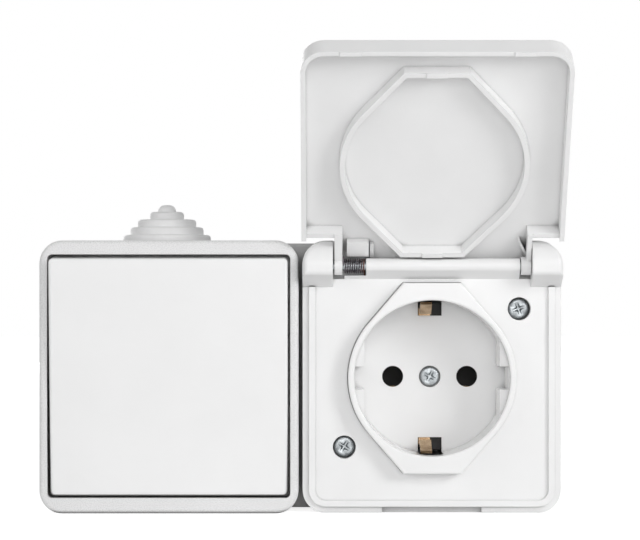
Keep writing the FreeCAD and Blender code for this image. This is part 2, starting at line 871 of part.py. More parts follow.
def make_switch_core():
    core = Piece("switch_core")
    x, z = switch_x, D.rocker_centre
    core.pad(core_back, core_front, rounded(x - core_half_width, x + core_half_width,
                                              -D.core_half_height, D.core_half_height, 2))
    wide, high = D.chamber_half_width, D.chamber_half_height
    core.pocket(core_front, D.chamber_floor, rounded(x - wide, x + wide, z - high, z + high, 1))
    top = pivot_depth + D.bearing_rise
    near = D.carrier_half_width + D.arm_side_gap
    far = near + D.bearing_width
    for left, right in ((x - far, x - near), (x + near, x + far)):
        tall = D.bearing_half_height
        core.pad(core_front, top, box_outline(left, right, z - tall, z + tall))
    bore = D.trunnion_radius + D.running_gap
    core.pocket_across(x - far - 1, x + far + 1, circle((-pivot_depth, z), bore))
    mouth = bore * 0.88
    gap = box_outline(-top - 1, -pivot_depth - 0.2, z - mouth, z + mouth)
    core.pocket_across(x - far - 1, x + far + 1, gap)
    add_ears(core, switch_ears_at)


def make_switch_contacts():
    x, z = switch_x, D.rocker_centre
    half = D.strip_thickness / 2
    base = -(D.chamber_floor + half)
    tab_top = -(D.chamber_floor + 13)
    wall = D.chamber_half_height - 2.6
    nose = (half - arm_rise, z)
    live = Piece("fixed_contact_live")
    line = [nose, (base, z), (base, z + wall), (tab_top, z + wall)]
    live.pad_across(x - D.arm_half_width, x + D.arm_half_width, strip(line, D.strip_thickness))
    live.pad_across(x - D.arm_half_width, x + D.arm_half_width, circle(nose, half))
    drop = D.arm_half_length - D.rivet_radius
    shelf = -(arm_rise - drop * sine(D.arm_tip) - D.rivet_height - half - 0.15)
    load = Piece("fixed_contact_load")
    line = [(shelf, z - drop + 1.6), (shelf, z - drop - 2), (base, z - drop - 2), (base, z - wall),
            (tab_top, z - wall)]
    load.pad_across(x - D.arm_half_width, x + D.arm_half_width, strip(line, D.strip_thickness))
    place = D.chamber_floor + 9
    for piece, low, high in ((live, z + wall - 1, z + wall + 1), (load, z - wall - 1, z - wall + 1)):
        piece.pocket_down(low, high, circle((x, -place), D.pilot_radius))
    screws = []
    for sign in (-1, 1):
        out = FreeCAD.Vector(0, 0, sign)
        tab = (z + sign * (wall - half)).value
        foot = FreeCAD.Vector(x.value, -place.value, tab - sign * 3)
        shank = Part.makeCylinder(D.pilot_radius.value, 3 + D.strip_thickness.value, foot, out)
        head = Part.makeCylinder(2.0, 1.2, foot + out * (3 + D.strip_thickness.value), out)
        screws.append(shank.fuse(head).removeSplitter())
    group("switch_terminal_screws", screws)


def make_contact_arm():
    """Seesaw that tips on the live strip's edge. It is drawn level and then tipped to its rest."""
    arm = Piece("contact_arm")
    x, z = switch_x, D.rocker_centre
    back = arm_rise + D.running_gap
    front = back + D.strip_thickness
    wide, high = D.arm_half_width, D.arm_half_length
    arm.pad(back, front, rounded(x - wide, x + wide, z - high, z + high, 1))
    arm.pad(back - D.rivet_height, back, circle((x, z - high + D.rivet_radius), D.rivet_radius))
    return arm.body, (arm_rise - D.strip_thickness / 2, z), -D.arm_tip


def make_rocker():
    x, z = switch_x, D.rocker_centre
    wide, high = recess_half_width - D.plate_gap, recess_half_height - D.plate_gap
    back = plate_front - D.plate_skirt
    under = plate_front - D.plate_wall
    plate = Piece("rocker_key")
    plate.pad(back, plate_front, rounded(x - wide, x + wide, z - high, z + high, D.plate_radius))
    wall = D.plate_wall
    hollow = rounded(x - wide + wall, x + wide - wall, z - high + wall, z + high - wall, 0.6)
    plate.pocket(under, back, hollow)
    inside = wide - 1
    rib = [box_outline(x - inside, x + inside, z + side * D.plate_rib - 0.5, z + side * D.plate_rib + 0.5)
           for side in (-1, 1)]
    plate.pad(under - 1.6, under, *rib)
    border = (x - wide, x + wide, z - high, z + high)
    plate.round_edges(D.plate_rounding, all_of(at_depth(plate_front), outside(*border)))
    carrier = Piece("rocker_carrier")
    deck = under
    low = deck - D.carrier_thickness
    tall = D.carrier_half_height
    broad = D.carrier_half_width
    carrier.pad(low, deck, rounded(x - broad, x + broad, z - tall, z + tall, 1.5))
    reach = broad + D.arm_side_gap + D.bearing_width
    carrier.pad_across(x - reach, x + reach, circle((-pivot_depth, z), D.trunnion_radius))
    nose_end = pivot_depth - D.plunger_reach + 3
    nose = D.nose_half
    carrier.pad(nose_end, low, rounded(x - nose, x + nose, z - nose, z + nose, 0.8))
    bore_end = nose_end + D.plunger_bore
    carrier.pocket(bore_end, nose_end, circle((x, z), D.nose_bore))
    plunger = Piece("detent_plunger")
    tip = pivot_depth - D.plunger_reach
    thin = D.nose_bore - D.running_gap
    stub = D.nose_bore * 0.5
    shoulder = tip + 5.4
    profile = polygon((-tip, 0), (-tip, 0.7), (-tip - 0.9, thin), (-shoulder, thin), (-shoulder, stub),
                      (-shoulder - 2, stub), (-shoulder - 2, 0))
    plunger.revolve("side", x, (0, z), profile, "H_Axis")
    spring_length = bore_end - shoulder
    coil = coil_shape(D.nose_bore - 0.3, dim(0.22), spring_length - 0.5, dim(6))
    coil.rotate(FreeCAD.Vector(), FreeCAD.Vector(1, 0, 0), 90)
    coil.translate(FreeCAD.Vector(x.value, -(shoulder + 0.25).value, z.value))
    spring = group("detent_spring", [coil])
    pivot = (pivot_depth, z)
    return [(each, pivot, D.rocker_tilt) for each in (plate.body, carrier.body, plunger.body, spring)]


def coil_shape(radius, wire, length, turns):
    """Round-wire coil along +Z."""
    pitch = (dim(length) / turns).value
    helix = Part.makeHelix(pitch, dim(length).value, dim(radius).value)
    start = FreeCAD.Vector(dim(radius).value, 0, 0)
    section = Part.Wire(Part.makeCircle(dim(wire).value, start, FreeCAD.Vector(0, 1, 0)))
    return Part.Wire(helix).makePipeShell([section], True, True)


def make_socket_cover():
    cover = Piece("socket_cover")
    x = socket_x
    left, right = x - half_width, x + half_width
    cover.pad(skirt_back, trough_front, unit_outline(x, 0, D.corner_radius))
    cover.pad(trough_front, panel_front, rounded(left, right, -half_height, half_height, D.corner_radius))
    inset = D.ledge_width
    bend = D.corner_radius - inset
    ridge_out = rounded(left + inset, right - inset, -half_height + inset, block_foot + D.corner_radius, bend)
    inset = D.ledge_width + D.ridge_width
    bend = D.corner_radius - inset
    ridge_top = block_foot + D.corner_radius * 2
    ridge_in = rounded(left + inset, right - inset, -half_height + inset, ridge_top, bend)
    cover.pad(panel_front, panel_front + D.ridge_height, ridge_out)
    cover.pocket(panel_front + D.ridge_height, panel_front, ridge_in)
    inner_left, inner_right = left + D.block_width, right - D.block_width
    trough = box_outline(inner_left, inner_right, hinge_height, half_height + 1)
    cover.pocket(panel_front, trough_front, trough)
    for outer, inner in ((left, inner_left), (right, inner_right)):
        block = shoulder(outer, inner, block_foot, block_top, D.corner_radius)
        cover.pad(panel_front - 1, block_front, block)
    underside = polygon((-panel_front, block_foot), (-block_front - 1, block_front_foot),
                        (-block_front - 1, block_foot))
    cover.pocket_across(left - 1, right + 1, underside)
    hinge = (-hinge_depth, hinge_height)
    cover.pocket_across(left - 1, right + 1, beyond_quarter(hinge, D.block_radius, 1))
    rail = rail_outline(rail_foot, trough_front, panel_front, hinge, D.rail_radius)
    cover.pad_across(inner_left, inner_right, rail)
    slot_low, slot_high = rail_foot, hinge_height + D.arm_boss_radius + 1
    slot_floor = hinge_depth - D.arm_boss_radius - D.boss_gap
    pocket_end = inner_left + D.hinge_slot + D.spring_pocket
    lip = hinge_height - D.spring_radius - D.spring_wire - D.spring_gap
    arm_slots = [box_outline(low, low + D.hinge_slot, slot_low, slot_high)
                 for low in (inner_left, inner_right - D.hinge_slot)]
    for place in arm_slots + [box_outline(inner_left + 1, pocket_end, lip, slot_high)]:
        cover.pocket(block_front, slot_floor, place)
    wall = D.skirt_wall
    cover.pocket(trough_front - D.panel_wall, skirt_back, lip_outline(x, D.box_wall))
    cover.pocket(gasket_front, skirt_back, unit_outline(x, wall, D.corner_radius - wall))
    low = -lip_half_height + D.box_wall
    high = D.well_centre + D.island_half_height + D.flange_reach + D.fit_gap
    side = lip_half_width - D.box_wall
    cover.pocket(panel_back, skirt_back, rounded(x - side, x + side, low, high, 2))
    for place in cover_screws_at:
        cover.pad(lip_front, panel_back, circle(place, D.boss_radius))
    cover.pocket(panel_front + D.ridge_height, skirt_back, island_grown(D.seam_gap))
    for place in cover_screws_at:
        cover.pocket(panel_front, panel_front - D.counterbore_depth, circle(place, D.counterbore_radius))
        cover.pocket(panel_front, lip_front, circle(place, D.pilot_radius + 0.3))
    notch = D.finger_notch_width / 2
    cover.pocket(panel_front, panel_front - D.finger_notch_depth,
                 box_outline(x - notch, x + notch, -half_height - 1, -half_height + D.ledge_width - 0.2))
    cover.pocket_across(left + D.block_width - D.hinge_pin_seat, left + D.block_width + 1,
                        circle((-hinge_depth, hinge_height), D.hinge_pin_radius))
    cover.pocket_across(right - D.block_width - 1, right - D.block_width + D.hinge_pin_seat,
                        circle((-hinge_depth, hinge_height), D.hinge_pin_radius))

    border = (left, right, -half_height, block_top)
    cover.round_edges(D.block_rounding, all_of(at_depth(block_front), outside(*border)))


def make_socket_insert():
    insert = Piece("socket_insert")
    x, z = well_middle
    outer = D.well_radius + D.well_wall
    flange_front = panel_back - D.seam_gap
    insert.pad(flange_front - 1.8, island_front, island_grown(0))
    insert.pad(flange_front - 1.8, flange_front, island_grown(D.flange_reach))
    insert.pad(well_floor_back, flange_front - 1.8, circle(well_middle, outer))
    shoulder = island_front - D.guide_drop
    insert.pocket(island_front, shoulder, circle(well_middle, D.well_radius))
    insert.pocket(shoulder, well_floor_front, guided_well(well_middle))
    pins = [circle((x + sign * D.pin_pitch / 2, z), D.pin_hole_radius) for sign in (-1, 1)]
    insert.pocket(well_floor_front, well_floor_back, *pins)
    insert.pocket(well_floor_front, well_floor_back, circle(well_middle, D.pilot_radius + 0.3))
    seat = well_floor_front - D.centre_bore_depth
    insert.pocket(well_floor_front, seat, circle(well_middle, D.centre_bore_radius))
    half = D.window_half_width
    front = island_front - D.window_drop
    for sign in (-1, 1):
        near, far = z + sign * D.window_reach, z + sign * (outer + 0.6)
        low, high = (near, far) if sign > 0 else (far, near)
        insert.pocket(front, well_floor_back, box_outline(x - half, x + half, low, high))
    border = outside(x - outer, x + outer, z - outer, z + outer, 3)
    insert.round_edges(0.5, all_of(at_depth(island_front), border))


def make_socket_core():
    core = Piece("socket_core")
    x, z = well_middle
    front = well_floor_back - D.core_well_gap
    wide, high = D.socket_core_half_width, D.socket_core_half_height
    core.pad(core_back, front, rounded(x - wide, x + wide, z - high, z + high, 2))
    gap = D.contact_gap / 2 + D.strip_thickness + 0.3
    for sign in (-1, 1):
        middle = x + sign * D.pin_pitch / 2
        low, high_end = z - D.terminal_drop - D.terminal_end - 1, z + D.contact_rise + 1
        core.pocket(front, D.contact_foot - 0.6, box_outline(middle - gap, middle + gap, low, high_end))
    half = D.bracket_half_width + D.fit_gap
    groove = bracket_back
    core.pocket(front, groove, box_outline(x - half, x + half, z - high - 1, z + high + 1))
    near = z + D.earth_terminal_near - D.fit_gap
    far = near + D.earth_terminal_width + D.fit_gap * 2
    core.pocket(front, groove, box_outline(x, x + wide + 1, near, far))
    core.pocket(groove, groove - 8, circle(well_middle, D.pilot_radius))
    core.pocket_across(x + wide - 5, x + wide + 1, circle(earth_terminal, D.pilot_radius))
    add_ears(core, socket_ears_at)


def make_earth_bracket():
    """Strip across the socket core whose two ends stand up in the well as sprung clips."""
    bracket = Piece("earth_bracket")
    x, z = well_middle
    half = D.strip_thickness / 2
    level = bracket_back + half
    front = bracket_back + D.strip_thickness
    reach = D.well_radius - 1.2
    low = x - D.clip_offset - D.clip_width / 2
    high = x - D.clip_offset + D.clip_width / 2
    end = D.window_reach - D.fit_gap
    wide = D.bracket_half_width
    bracket.pad(bracket_back, front, box_outline(x - wide, x + wide, z - end, z + end))
    tip = island_front - D.window_drop - 1.5
    middle = (well_floor_front + tip) / 2
    for sign in (-1, 1):
        line = [(-level, z + sign * (end - 0.5)), (-level, z + sign * (reach - half)),
                (-well_floor_front - 1.0, z + sign * (reach - 0.6)), (-middle, z + sign * D.clip_bulge),
                (-tip + 1.6, z + sign * (reach - 0.2)), (-tip, z + sign * (reach + 0.5))]
        bracket.pad_across(low, high, strip(line, D.strip_thickness))
    side = x + D.socket_core_half_width
    near, far = z + D.earth_terminal_near, z + D.earth_terminal_near + D.earth_terminal_width
    bracket.pad(bracket_back, front, box_outline(x, side + D.fit_gap + D.strip_thickness, near, far))
    bracket.pad_across(side + D.fit_gap, side + D.fit_gap + D.strip_thickness,
                       box_outline(-front, -D.earth_leg_back, near, far))
    bracket.pocket(front, bracket_back, circle(well_middle, D.pilot_radius + D.fit_gap))
    hole = circle(earth_terminal, D.pilot_radius + D.fit_gap)
    bracket.pocket_across(side, side + D.strip_thickness + 1, hole)


def make_pin_contact(label, sign):
    """U-shaped sprung contact that grips a plug pin, with a foot for its terminal screw."""
    contact = Piece(label)
    x = socket_x + sign * D.pin_pitch / 2
    z = D.well_centre
    side = (D.contact_gap + D.strip_thickness) / 2
    foot = -D.contact_foot
    top = -(well_floor_back - 1.6)
    line = [(x - side, top), (x - side, foot), (x + side, foot), (x + side, top)]
    contact.pad_up(z - D.contact_reach, z + D.contact_rise, strip(line, D.strip_thickness))
    half = D.strip_thickness / 2
    front, back = D.contact_foot + half, D.contact_foot - half
    inside = D.contact_gap / 2
    rise = D.contact_rise
    contact.pocket(front, back, box_outline(x - inside, x + inside, z - rise, z + rise + 1))
    wide = D.terminal_half_width
    end = z - D.terminal_drop - D.terminal_end
    contact.pad(back, front, box_outline(x - wide, x + wide, end, z - D.contact_reach + 0.5))
    contact.pocket(front, back, circle((x, z - D.terminal_drop), D.pilot_radius))


def make_lid():
    """Lid drawn shut, with its rim, sealing rib, hinge arms and the spring's abutment, then swung open."""
    lid = Piece("lid")
    x = socket_x
    axis = hinge_height
    left, right = x - half_width - D.lid_overhang, x + half_width + D.lid_overhang
    foot, top = D.lid_end_gap - half_height, axis + D.lid_tongue
    lid.pad(lid_rim_depth, lid_front, rounded(left, right, foot, top, D.corner_radius))
    body_left, body_right = x - half_width, x + half_width
    arm_left = body_left + D.block_width + D.arm_side_gap
    arm_right = body_right - D.block_width - D.arm_far_gap
    spring_side = arm_left + D.spring_arm_thickness
    far_side = arm_right - D.arm_thickness
    wall = D.lid_rim_wall
    rim_foot, step = axis - D.lid_rim_foot, axis - D.lid_step
    near = [(left - 1, rim_foot), (left + wall, rim_foot), (left + wall, step), (arm_left, step),
            (arm_left, top + 1), (left - 1, top + 1)]
    far = [(right + 1, rim_foot), (right - wall, rim_foot), (right - wall, step), (arm_right, step),
           (arm_right, top + 1), (right + 1, top + 1)]
    lid.pocket(lid_front, lid_rim_depth, polygon(*near), polygon(*far))
    plate_back = lid_front - D.lid_wall
    inner = step - D.lid_step_wall
    bend = D.corner_radius - wall
    lid.pocket(plate_back, lid_rim_depth, rounded(left + wall, right - wall, foot + wall, inner, bend))
    lid.pocket(plate_back, lid_rim_depth, box_outline(left + wall, right - wall, inner - bend * 2, inner))
    tongue = box_outline(spring_side, far_side, inner - D.corner_radius, top + 1)
    lid.pocket(plate_back, lid_rim_depth, tongue)
    middle = (x, D.well_centre - D.seal_shift)
    radius = D.island_radius + D.seal_gap
    half = D.island_half_height + D.seal_gap + D.seal_stretch
    inside = island(middle, radius, half)
    outside_rib = island(middle, radius + D.seal_wall, half + D.seal_wall)
    lid.pad(plate_back - D.seal_height, plate_back, outside_rib, inside)
    ridge_front = panel_front + D.ridge_height + D.ridge_clearance
    for low, high in ((left + wall, arm_left), (arm_right, right - wall)):
        lid.pocket(ridge_front, lid_rim_depth, box_outline(low, high, inner, step))
    rib_end = plate_back - D.seal_height
    wide = D.pad_width / 2
    for low, high in ((-half - D.seal_wall, -half), (half, half + D.seal_wall)):
        place = box_outline(x - wide, x + wide, middle[1] + low, middle[1] + high)
        lid.pad(rib_end - D.pad_rise, rib_end, place)
    pads = [box_outline(x + sign * D.pad_offset - wide, x + sign * D.pad_offset + wide, foot, foot + wall)
            for sign in (-1, 1)]
    lid.pad(lid_rim_depth - D.pad_rise, lid_rim_depth, *pads)
    hinge = (-hinge_depth, axis)
    lid.pad_across(arm_left, spring_side, circle(hinge, D.arm_boss_radius))
    lid.pad_across(arm_right - D.arm_boss_width, arm_right, circle(hinge, D.arm_boss_radius))
    low = spring_side + D.abutment_gap
    for width, height, far, near in (
            (D.abutment_width, D.abutment_height, -D.abutment_far, -D.abutment_near),
            (D.lid_tab_width, D.lid_tab_height, -D.lid_tab_far, D.lid_tab_near)):
        block = box_outline(-plate_back, height - plate_back, axis + far, axis + near)
        lid.pad_across(low, low + width, block)
        low = low + width + D.lid_tab_gap
    gusset = [(far_side + D.gusset_wall / 2, axis - D.gusset_near),
              (far_side - D.gusset_width, axis - D.gusset_far)]
    lid.pad(plate_back - D.gusset_height, plate_back, strip(gusset, D.gusset_wall))
    lid.pocket_across(arm_left - 1, arm_right + 1,
                      circle((-hinge_depth, axis), D.hinge_pin_radius + D.running_gap))
    border = (left, right, foot, top + 1)

    def below_hinge(edge):
        return edge.BoundBox.ZMin < rim_foot.value - 0.01

    lid.round_edges(D.lid_rounding, all_of(at_depth(lid_front), outside(*border), below_hinge))
    return lid.body, (hinge_depth, axis), -D.lid_opening


def make_hinge_pins():
    inner_left = socket_x - half_width + D.block_width
    inner_right = socket_x + half_width - D.block_width
    end = inner_left + D.hinge_slot + D.spring_pocket
    spans = {"hinge_pin_left": (inner_left - D.hinge_pin_seat, end),
             "hinge_pin_right": (inner_right - D.hinge_slot, inner_right + D.hinge_pin_seat)}
    for label, (low, high) in spans.items():
        pin = Piece(label)
        pin.pad_across(low, high, circle((-hinge_depth, hinge_height), D.hinge_pin_radius))


def make_lid_spring():
    """Torsion spring on the left pin. One leg lies on the lid's abutment and one in the cover's pocket."""
    spring_side = socket_x - half_width + D.block_width + D.arm_side_gap + D.spring_arm_thickness
    start = spring_side + D.spring_gap
    length = D.spring_pitch * D.spring_turns
    coil = coil_shape(D.spring_radius, D.spring_wire, length, D.spring_turns)
    coil.rotate(FreeCAD.Vector(), FreeCAD.Vector(0, 1, 0), 90)
    coil.translate(FreeCAD.Vector(start.value, -hinge_depth.value, hinge_height.value))
    group("lid_spring", [coil])


def make_screws():
    bore = D.pilot_radius
    head = D.screw_head_radius
    seat = frame_floor_front - D.screw_head_height
    group("frame_screws", [screw(a, b, seat, frame_floor_back - 9, head, bore) for a, b in frame_screws_at])
    seat = panel_front - D.counterbore_depth
    group("cover_screws", [screw(a, b, seat, lip_front - 9, head, bore) for a, b in cover_screws_at])
    seat = well_floor_front - D.centre_bore_depth
    group("centre_screw", [screw(well_middle[0], well_middle[1], seat, well_floor_back - 8, head, bore)])
    for label, ears in (("switch_core_screws", switch_ears_at), ("socket_core_screws", socket_ears_at)):
        seat = core_back + D.ear_thickness
        group(label, [screw(ear_middle(sign, half, x), z, seat, core_back - 2, head, bore)
                      for sign, half, z, x in ears])
    seat = D.contact_foot + D.strip_thickness / 2
    level = D.well_centre - D.terminal_drop
    terminals = [screw(socket_x + sign * D.pin_pitch / 2, level, seat, seat - D.strip_thickness, head, bore)
                 for sign in (-1, 1)]
    side = socket_x + D.socket_core_half_width + D.fit_gap + D.strip_thickness
    foot = FreeCAD.Vector(side.value, earth_terminal[0].value, earth_terminal[1].value)
    sideways = screw(0, 0, 0, -D.terminal_screw_length, head, bore)
    sideways.rotate(FreeCAD.Vector(), FreeCAD.Vector(0, 0, 1), 90)
    sideways.translate(foot)
    group("socket_terminal_screws", terminals + [sideways])


make_back_box()
make_gland()
make_gasket("switch_gasket", switch_x)
make_gasket("socket_gasket", socket_x)
make_switch_frame()
make_switch_core()
make_switch_contacts()
moved = [make_contact_arm()]
moved += make_rocker()
make_socket_cover()
make_socket_insert()
make_socket_core()
make_earth_bracket()
make_pin_contact("live_contact", 1)
make_pin_contact("neutral_contact", -1)
moved.append(make_lid())
make_hinge_pins()
make_lid_spring()
make_screws()
doc.recompute()

# What turns is set to its rest pose about its own axis
for thing, (depth, height), angle in moved:
    centre = FreeCAD.Vector(0, -depth.value, height.value)
    turn = FreeCAD.Rotation(FreeCAD.Vector(1, 0, 0), angle.value)
    thing.Placement = FreeCAD.Placement(FreeCAD.Vector(), turn, centre).multiply(thing.Placement)
doc.recompute()

faults = []
for thing in doc.Objects:
    if "Invalid" in thing.State or "Error" in thing.State:
        faults.append(f"{thing.Label}: {thing.State}")
for thing in Piece.made:
    if thing.Shape.isNull() or not thing.Shape.isValid():
        faults.append(f"{thing.Label}: shape is empty or not valid")
if faults:
    raise RuntimeError("; ".join(faults))

os.makedirs("parts", exist_ok=True)
for thing in Piece.made:
    thing.Shape.exportStep(os.path.join("parts", f"{thing.Label}.step"))
    print(f"{thing.Label}: {len(thing.Shape.Solids)} solid(s), {thing.Shape.Volume:.1f} mm3")
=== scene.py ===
import json
import logging
import math
from dataclasses import dataclass
from enum import Enum
from typing import Iterable, Sequence

import bmesh
import bpy
from mathutils import Matrix, Vector

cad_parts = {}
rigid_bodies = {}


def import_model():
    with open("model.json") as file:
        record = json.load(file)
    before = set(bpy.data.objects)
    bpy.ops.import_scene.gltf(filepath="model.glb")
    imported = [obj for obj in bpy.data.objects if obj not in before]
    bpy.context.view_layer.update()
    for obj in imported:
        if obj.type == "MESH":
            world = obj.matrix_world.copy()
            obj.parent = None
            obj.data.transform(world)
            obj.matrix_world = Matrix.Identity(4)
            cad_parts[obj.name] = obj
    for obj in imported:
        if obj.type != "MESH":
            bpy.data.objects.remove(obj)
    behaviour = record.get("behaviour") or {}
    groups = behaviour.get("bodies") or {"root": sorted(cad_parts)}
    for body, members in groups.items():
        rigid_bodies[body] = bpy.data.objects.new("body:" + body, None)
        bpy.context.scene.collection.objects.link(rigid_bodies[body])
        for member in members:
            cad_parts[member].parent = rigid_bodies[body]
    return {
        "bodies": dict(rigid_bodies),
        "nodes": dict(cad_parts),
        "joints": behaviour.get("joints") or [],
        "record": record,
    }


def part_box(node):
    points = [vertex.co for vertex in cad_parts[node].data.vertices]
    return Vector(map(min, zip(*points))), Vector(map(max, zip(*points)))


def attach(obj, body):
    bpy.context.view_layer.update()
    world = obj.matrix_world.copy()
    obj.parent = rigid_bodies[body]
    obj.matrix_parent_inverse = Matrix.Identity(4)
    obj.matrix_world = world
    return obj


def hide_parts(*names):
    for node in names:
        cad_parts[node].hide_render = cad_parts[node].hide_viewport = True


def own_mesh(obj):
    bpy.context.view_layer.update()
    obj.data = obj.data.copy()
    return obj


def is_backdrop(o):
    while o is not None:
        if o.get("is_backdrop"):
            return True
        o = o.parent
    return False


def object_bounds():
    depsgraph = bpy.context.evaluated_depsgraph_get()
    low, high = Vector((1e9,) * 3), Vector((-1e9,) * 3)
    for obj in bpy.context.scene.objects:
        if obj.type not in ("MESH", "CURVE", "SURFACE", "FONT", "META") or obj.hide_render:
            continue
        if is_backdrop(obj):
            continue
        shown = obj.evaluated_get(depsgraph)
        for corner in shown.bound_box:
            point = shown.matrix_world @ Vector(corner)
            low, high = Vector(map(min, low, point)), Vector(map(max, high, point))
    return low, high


# Looks of an outdoor rocker switch and an earthed socket with a sprung lid, side by side on one back box.
# Metres, Z up, the wall behind at Y = 0 and the fronts towards -Y.

MM = 0.001
# Numbers of a colour Mix node's sockets.
MIX_SHARE, MIX_LOW, MIX_HIGH, MIX_COLOUR = 0, 6, 7, 2
# Range that holds most of a noise pattern's values.
NOISE_SPAN = (0.3, 0.7)
# Sharpest edge that is shaded smooth, in degrees: on plain pieces, on the gland's steps and on thin wire.
FLAT_SMOOTH, STEP_SMOOTH, WIRE_SMOOTH = 35.0, 50.0, 60.0
log = logging.getLogger("weatherproof_switch_and_socket")


class Slot(Enum):
    """Material slots of the record."""

    BOX = "box_plastic"
    FRAME = "frame_plastic"
    ROCKER = "rocker_plastic"
    COVER = "cover_plastic"
    LID = "lid_plastic"
    INSERT = "insert_plastic"
    GLAND = "gland_rubber"
    GASKET = "gasket_rubber"
    CORE = "core_plastic"
    CONTACT = "contact_brass"
    ZINC = "zinc_steel"
    SPRING = "spring_steel"


class Body(Enum):
    """Bodies of the frame that pieces ride on."""

    HOUSING = "housing"
    LID = "lid"
    ROCKER = "rocker"


def linear(code: str) -> tuple[float, float, float, float]:
    """Turns an sRGB hex colour to linear values.

    Args:
        code: colour such as "#e4e4e2".

    Returns:
        Red, green, blue and full opacity.
    """
    steps = [int(code[place:place + 2], 16) / 255 for place in (1, 3, 5)]
    red, green, blue = [s / 12.92 if s <= 0.04045 else ((s + 0.055) / 1.055) ** 2.4 for s in steps]
    return red, green, blue, 1.0


def per_metre(millimetres: float) -> float:
    """Gives the scale at which a pattern repeats about every so many millimetres."""
    return 1 / (millimetres * MM)


def add_node(tree: bpy.types.NodeTree, kind: str, inputs: dict | None = None,
             **settings: object) -> bpy.types.Node:
    """Adds one shader node.

    Args:
        tree: the material's node tree.
        kind: type of the node, such as "ShaderNodeTexNoise".
        inputs: by input, the socket that feeds it or its constant.
        settings: properties of the node itself.

    Returns:
        The new node.
    """
    node = tree.nodes.new(kind)
    for name, setting in settings.items():
        setattr(node, name, setting)
    for name, given in (inputs or {}).items():
        if isinstance(given, bpy.types.NodeSocket):
            tree.links.new(given, node.inputs[name])
        else:
            node.inputs[name].default_value = given
    return node


def span(low: float, high: float, start: float = 0.0, end: float = 1.0) -> dict[str, float]:
    """Gives the constants that map one range of values to another.

    Args:
        low: value that becomes start.
        high: value that becomes end.
        start: result at low and below.
        end: result at high and above.

    Returns:
        The constants by input.
    """
    return {"From Min": low, "From Max": high, "To Min": start, "To Max": end}


def blend(tree: bpy.types.NodeTree, share: bpy.types.NodeSocket, low: str | bpy.types.NodeSocket,
          high: str | bpy.types.NodeSocket) -> bpy.types.NodeSocket:
    """Blends two colours by a pattern.

    Args:
        tree: the material's node tree.
        share: pattern between 0 and 1.
        low: colour at 0, as a hex code or a socket.
        high: colour at 1, as a hex code or a socket.

    Returns:
        The blended colour.
    """
    ends = [linear(end) if isinstance(end, str) else end for end in (low, high)]
    mix = add_node(tree, "ShaderNodeMix", {MIX_SHARE: share, MIX_LOW: ends[0], MIX_HIGH: ends[1]},
                   data_type="RGBA")
    return mix.outputs[MIX_COLOUR]


def new_material(name: str) -> tuple[bpy.types.Material, bpy.types.NodeTree, bpy.types.NodeSocket]:
    """Makes an empty node material.

    Args:
        name: name of the finish.

    Returns:
        The material, its tree and the object coordinates.
    """
    material = bpy.data.materials.new(name)
    material.use_nodes = True
    tree = material.node_tree
    tree.nodes.clear()
    return material, tree, add_node(tree, "ShaderNodeTexCoord").outputs["Object"]


def close_material(tree: bpy.types.NodeTree, inputs: dict) -> None:
    """Ends a material with its surface.

    Args:
        tree: the material's node tree.
        inputs: the surface's sockets and constants by input.
    """
    surface = add_node(tree, "ShaderNodeBsdfPrincipled", inputs)
    add_node(tree, "ShaderNodeOutputMaterial", {"Surface": surface.outputs["BSDF"]})


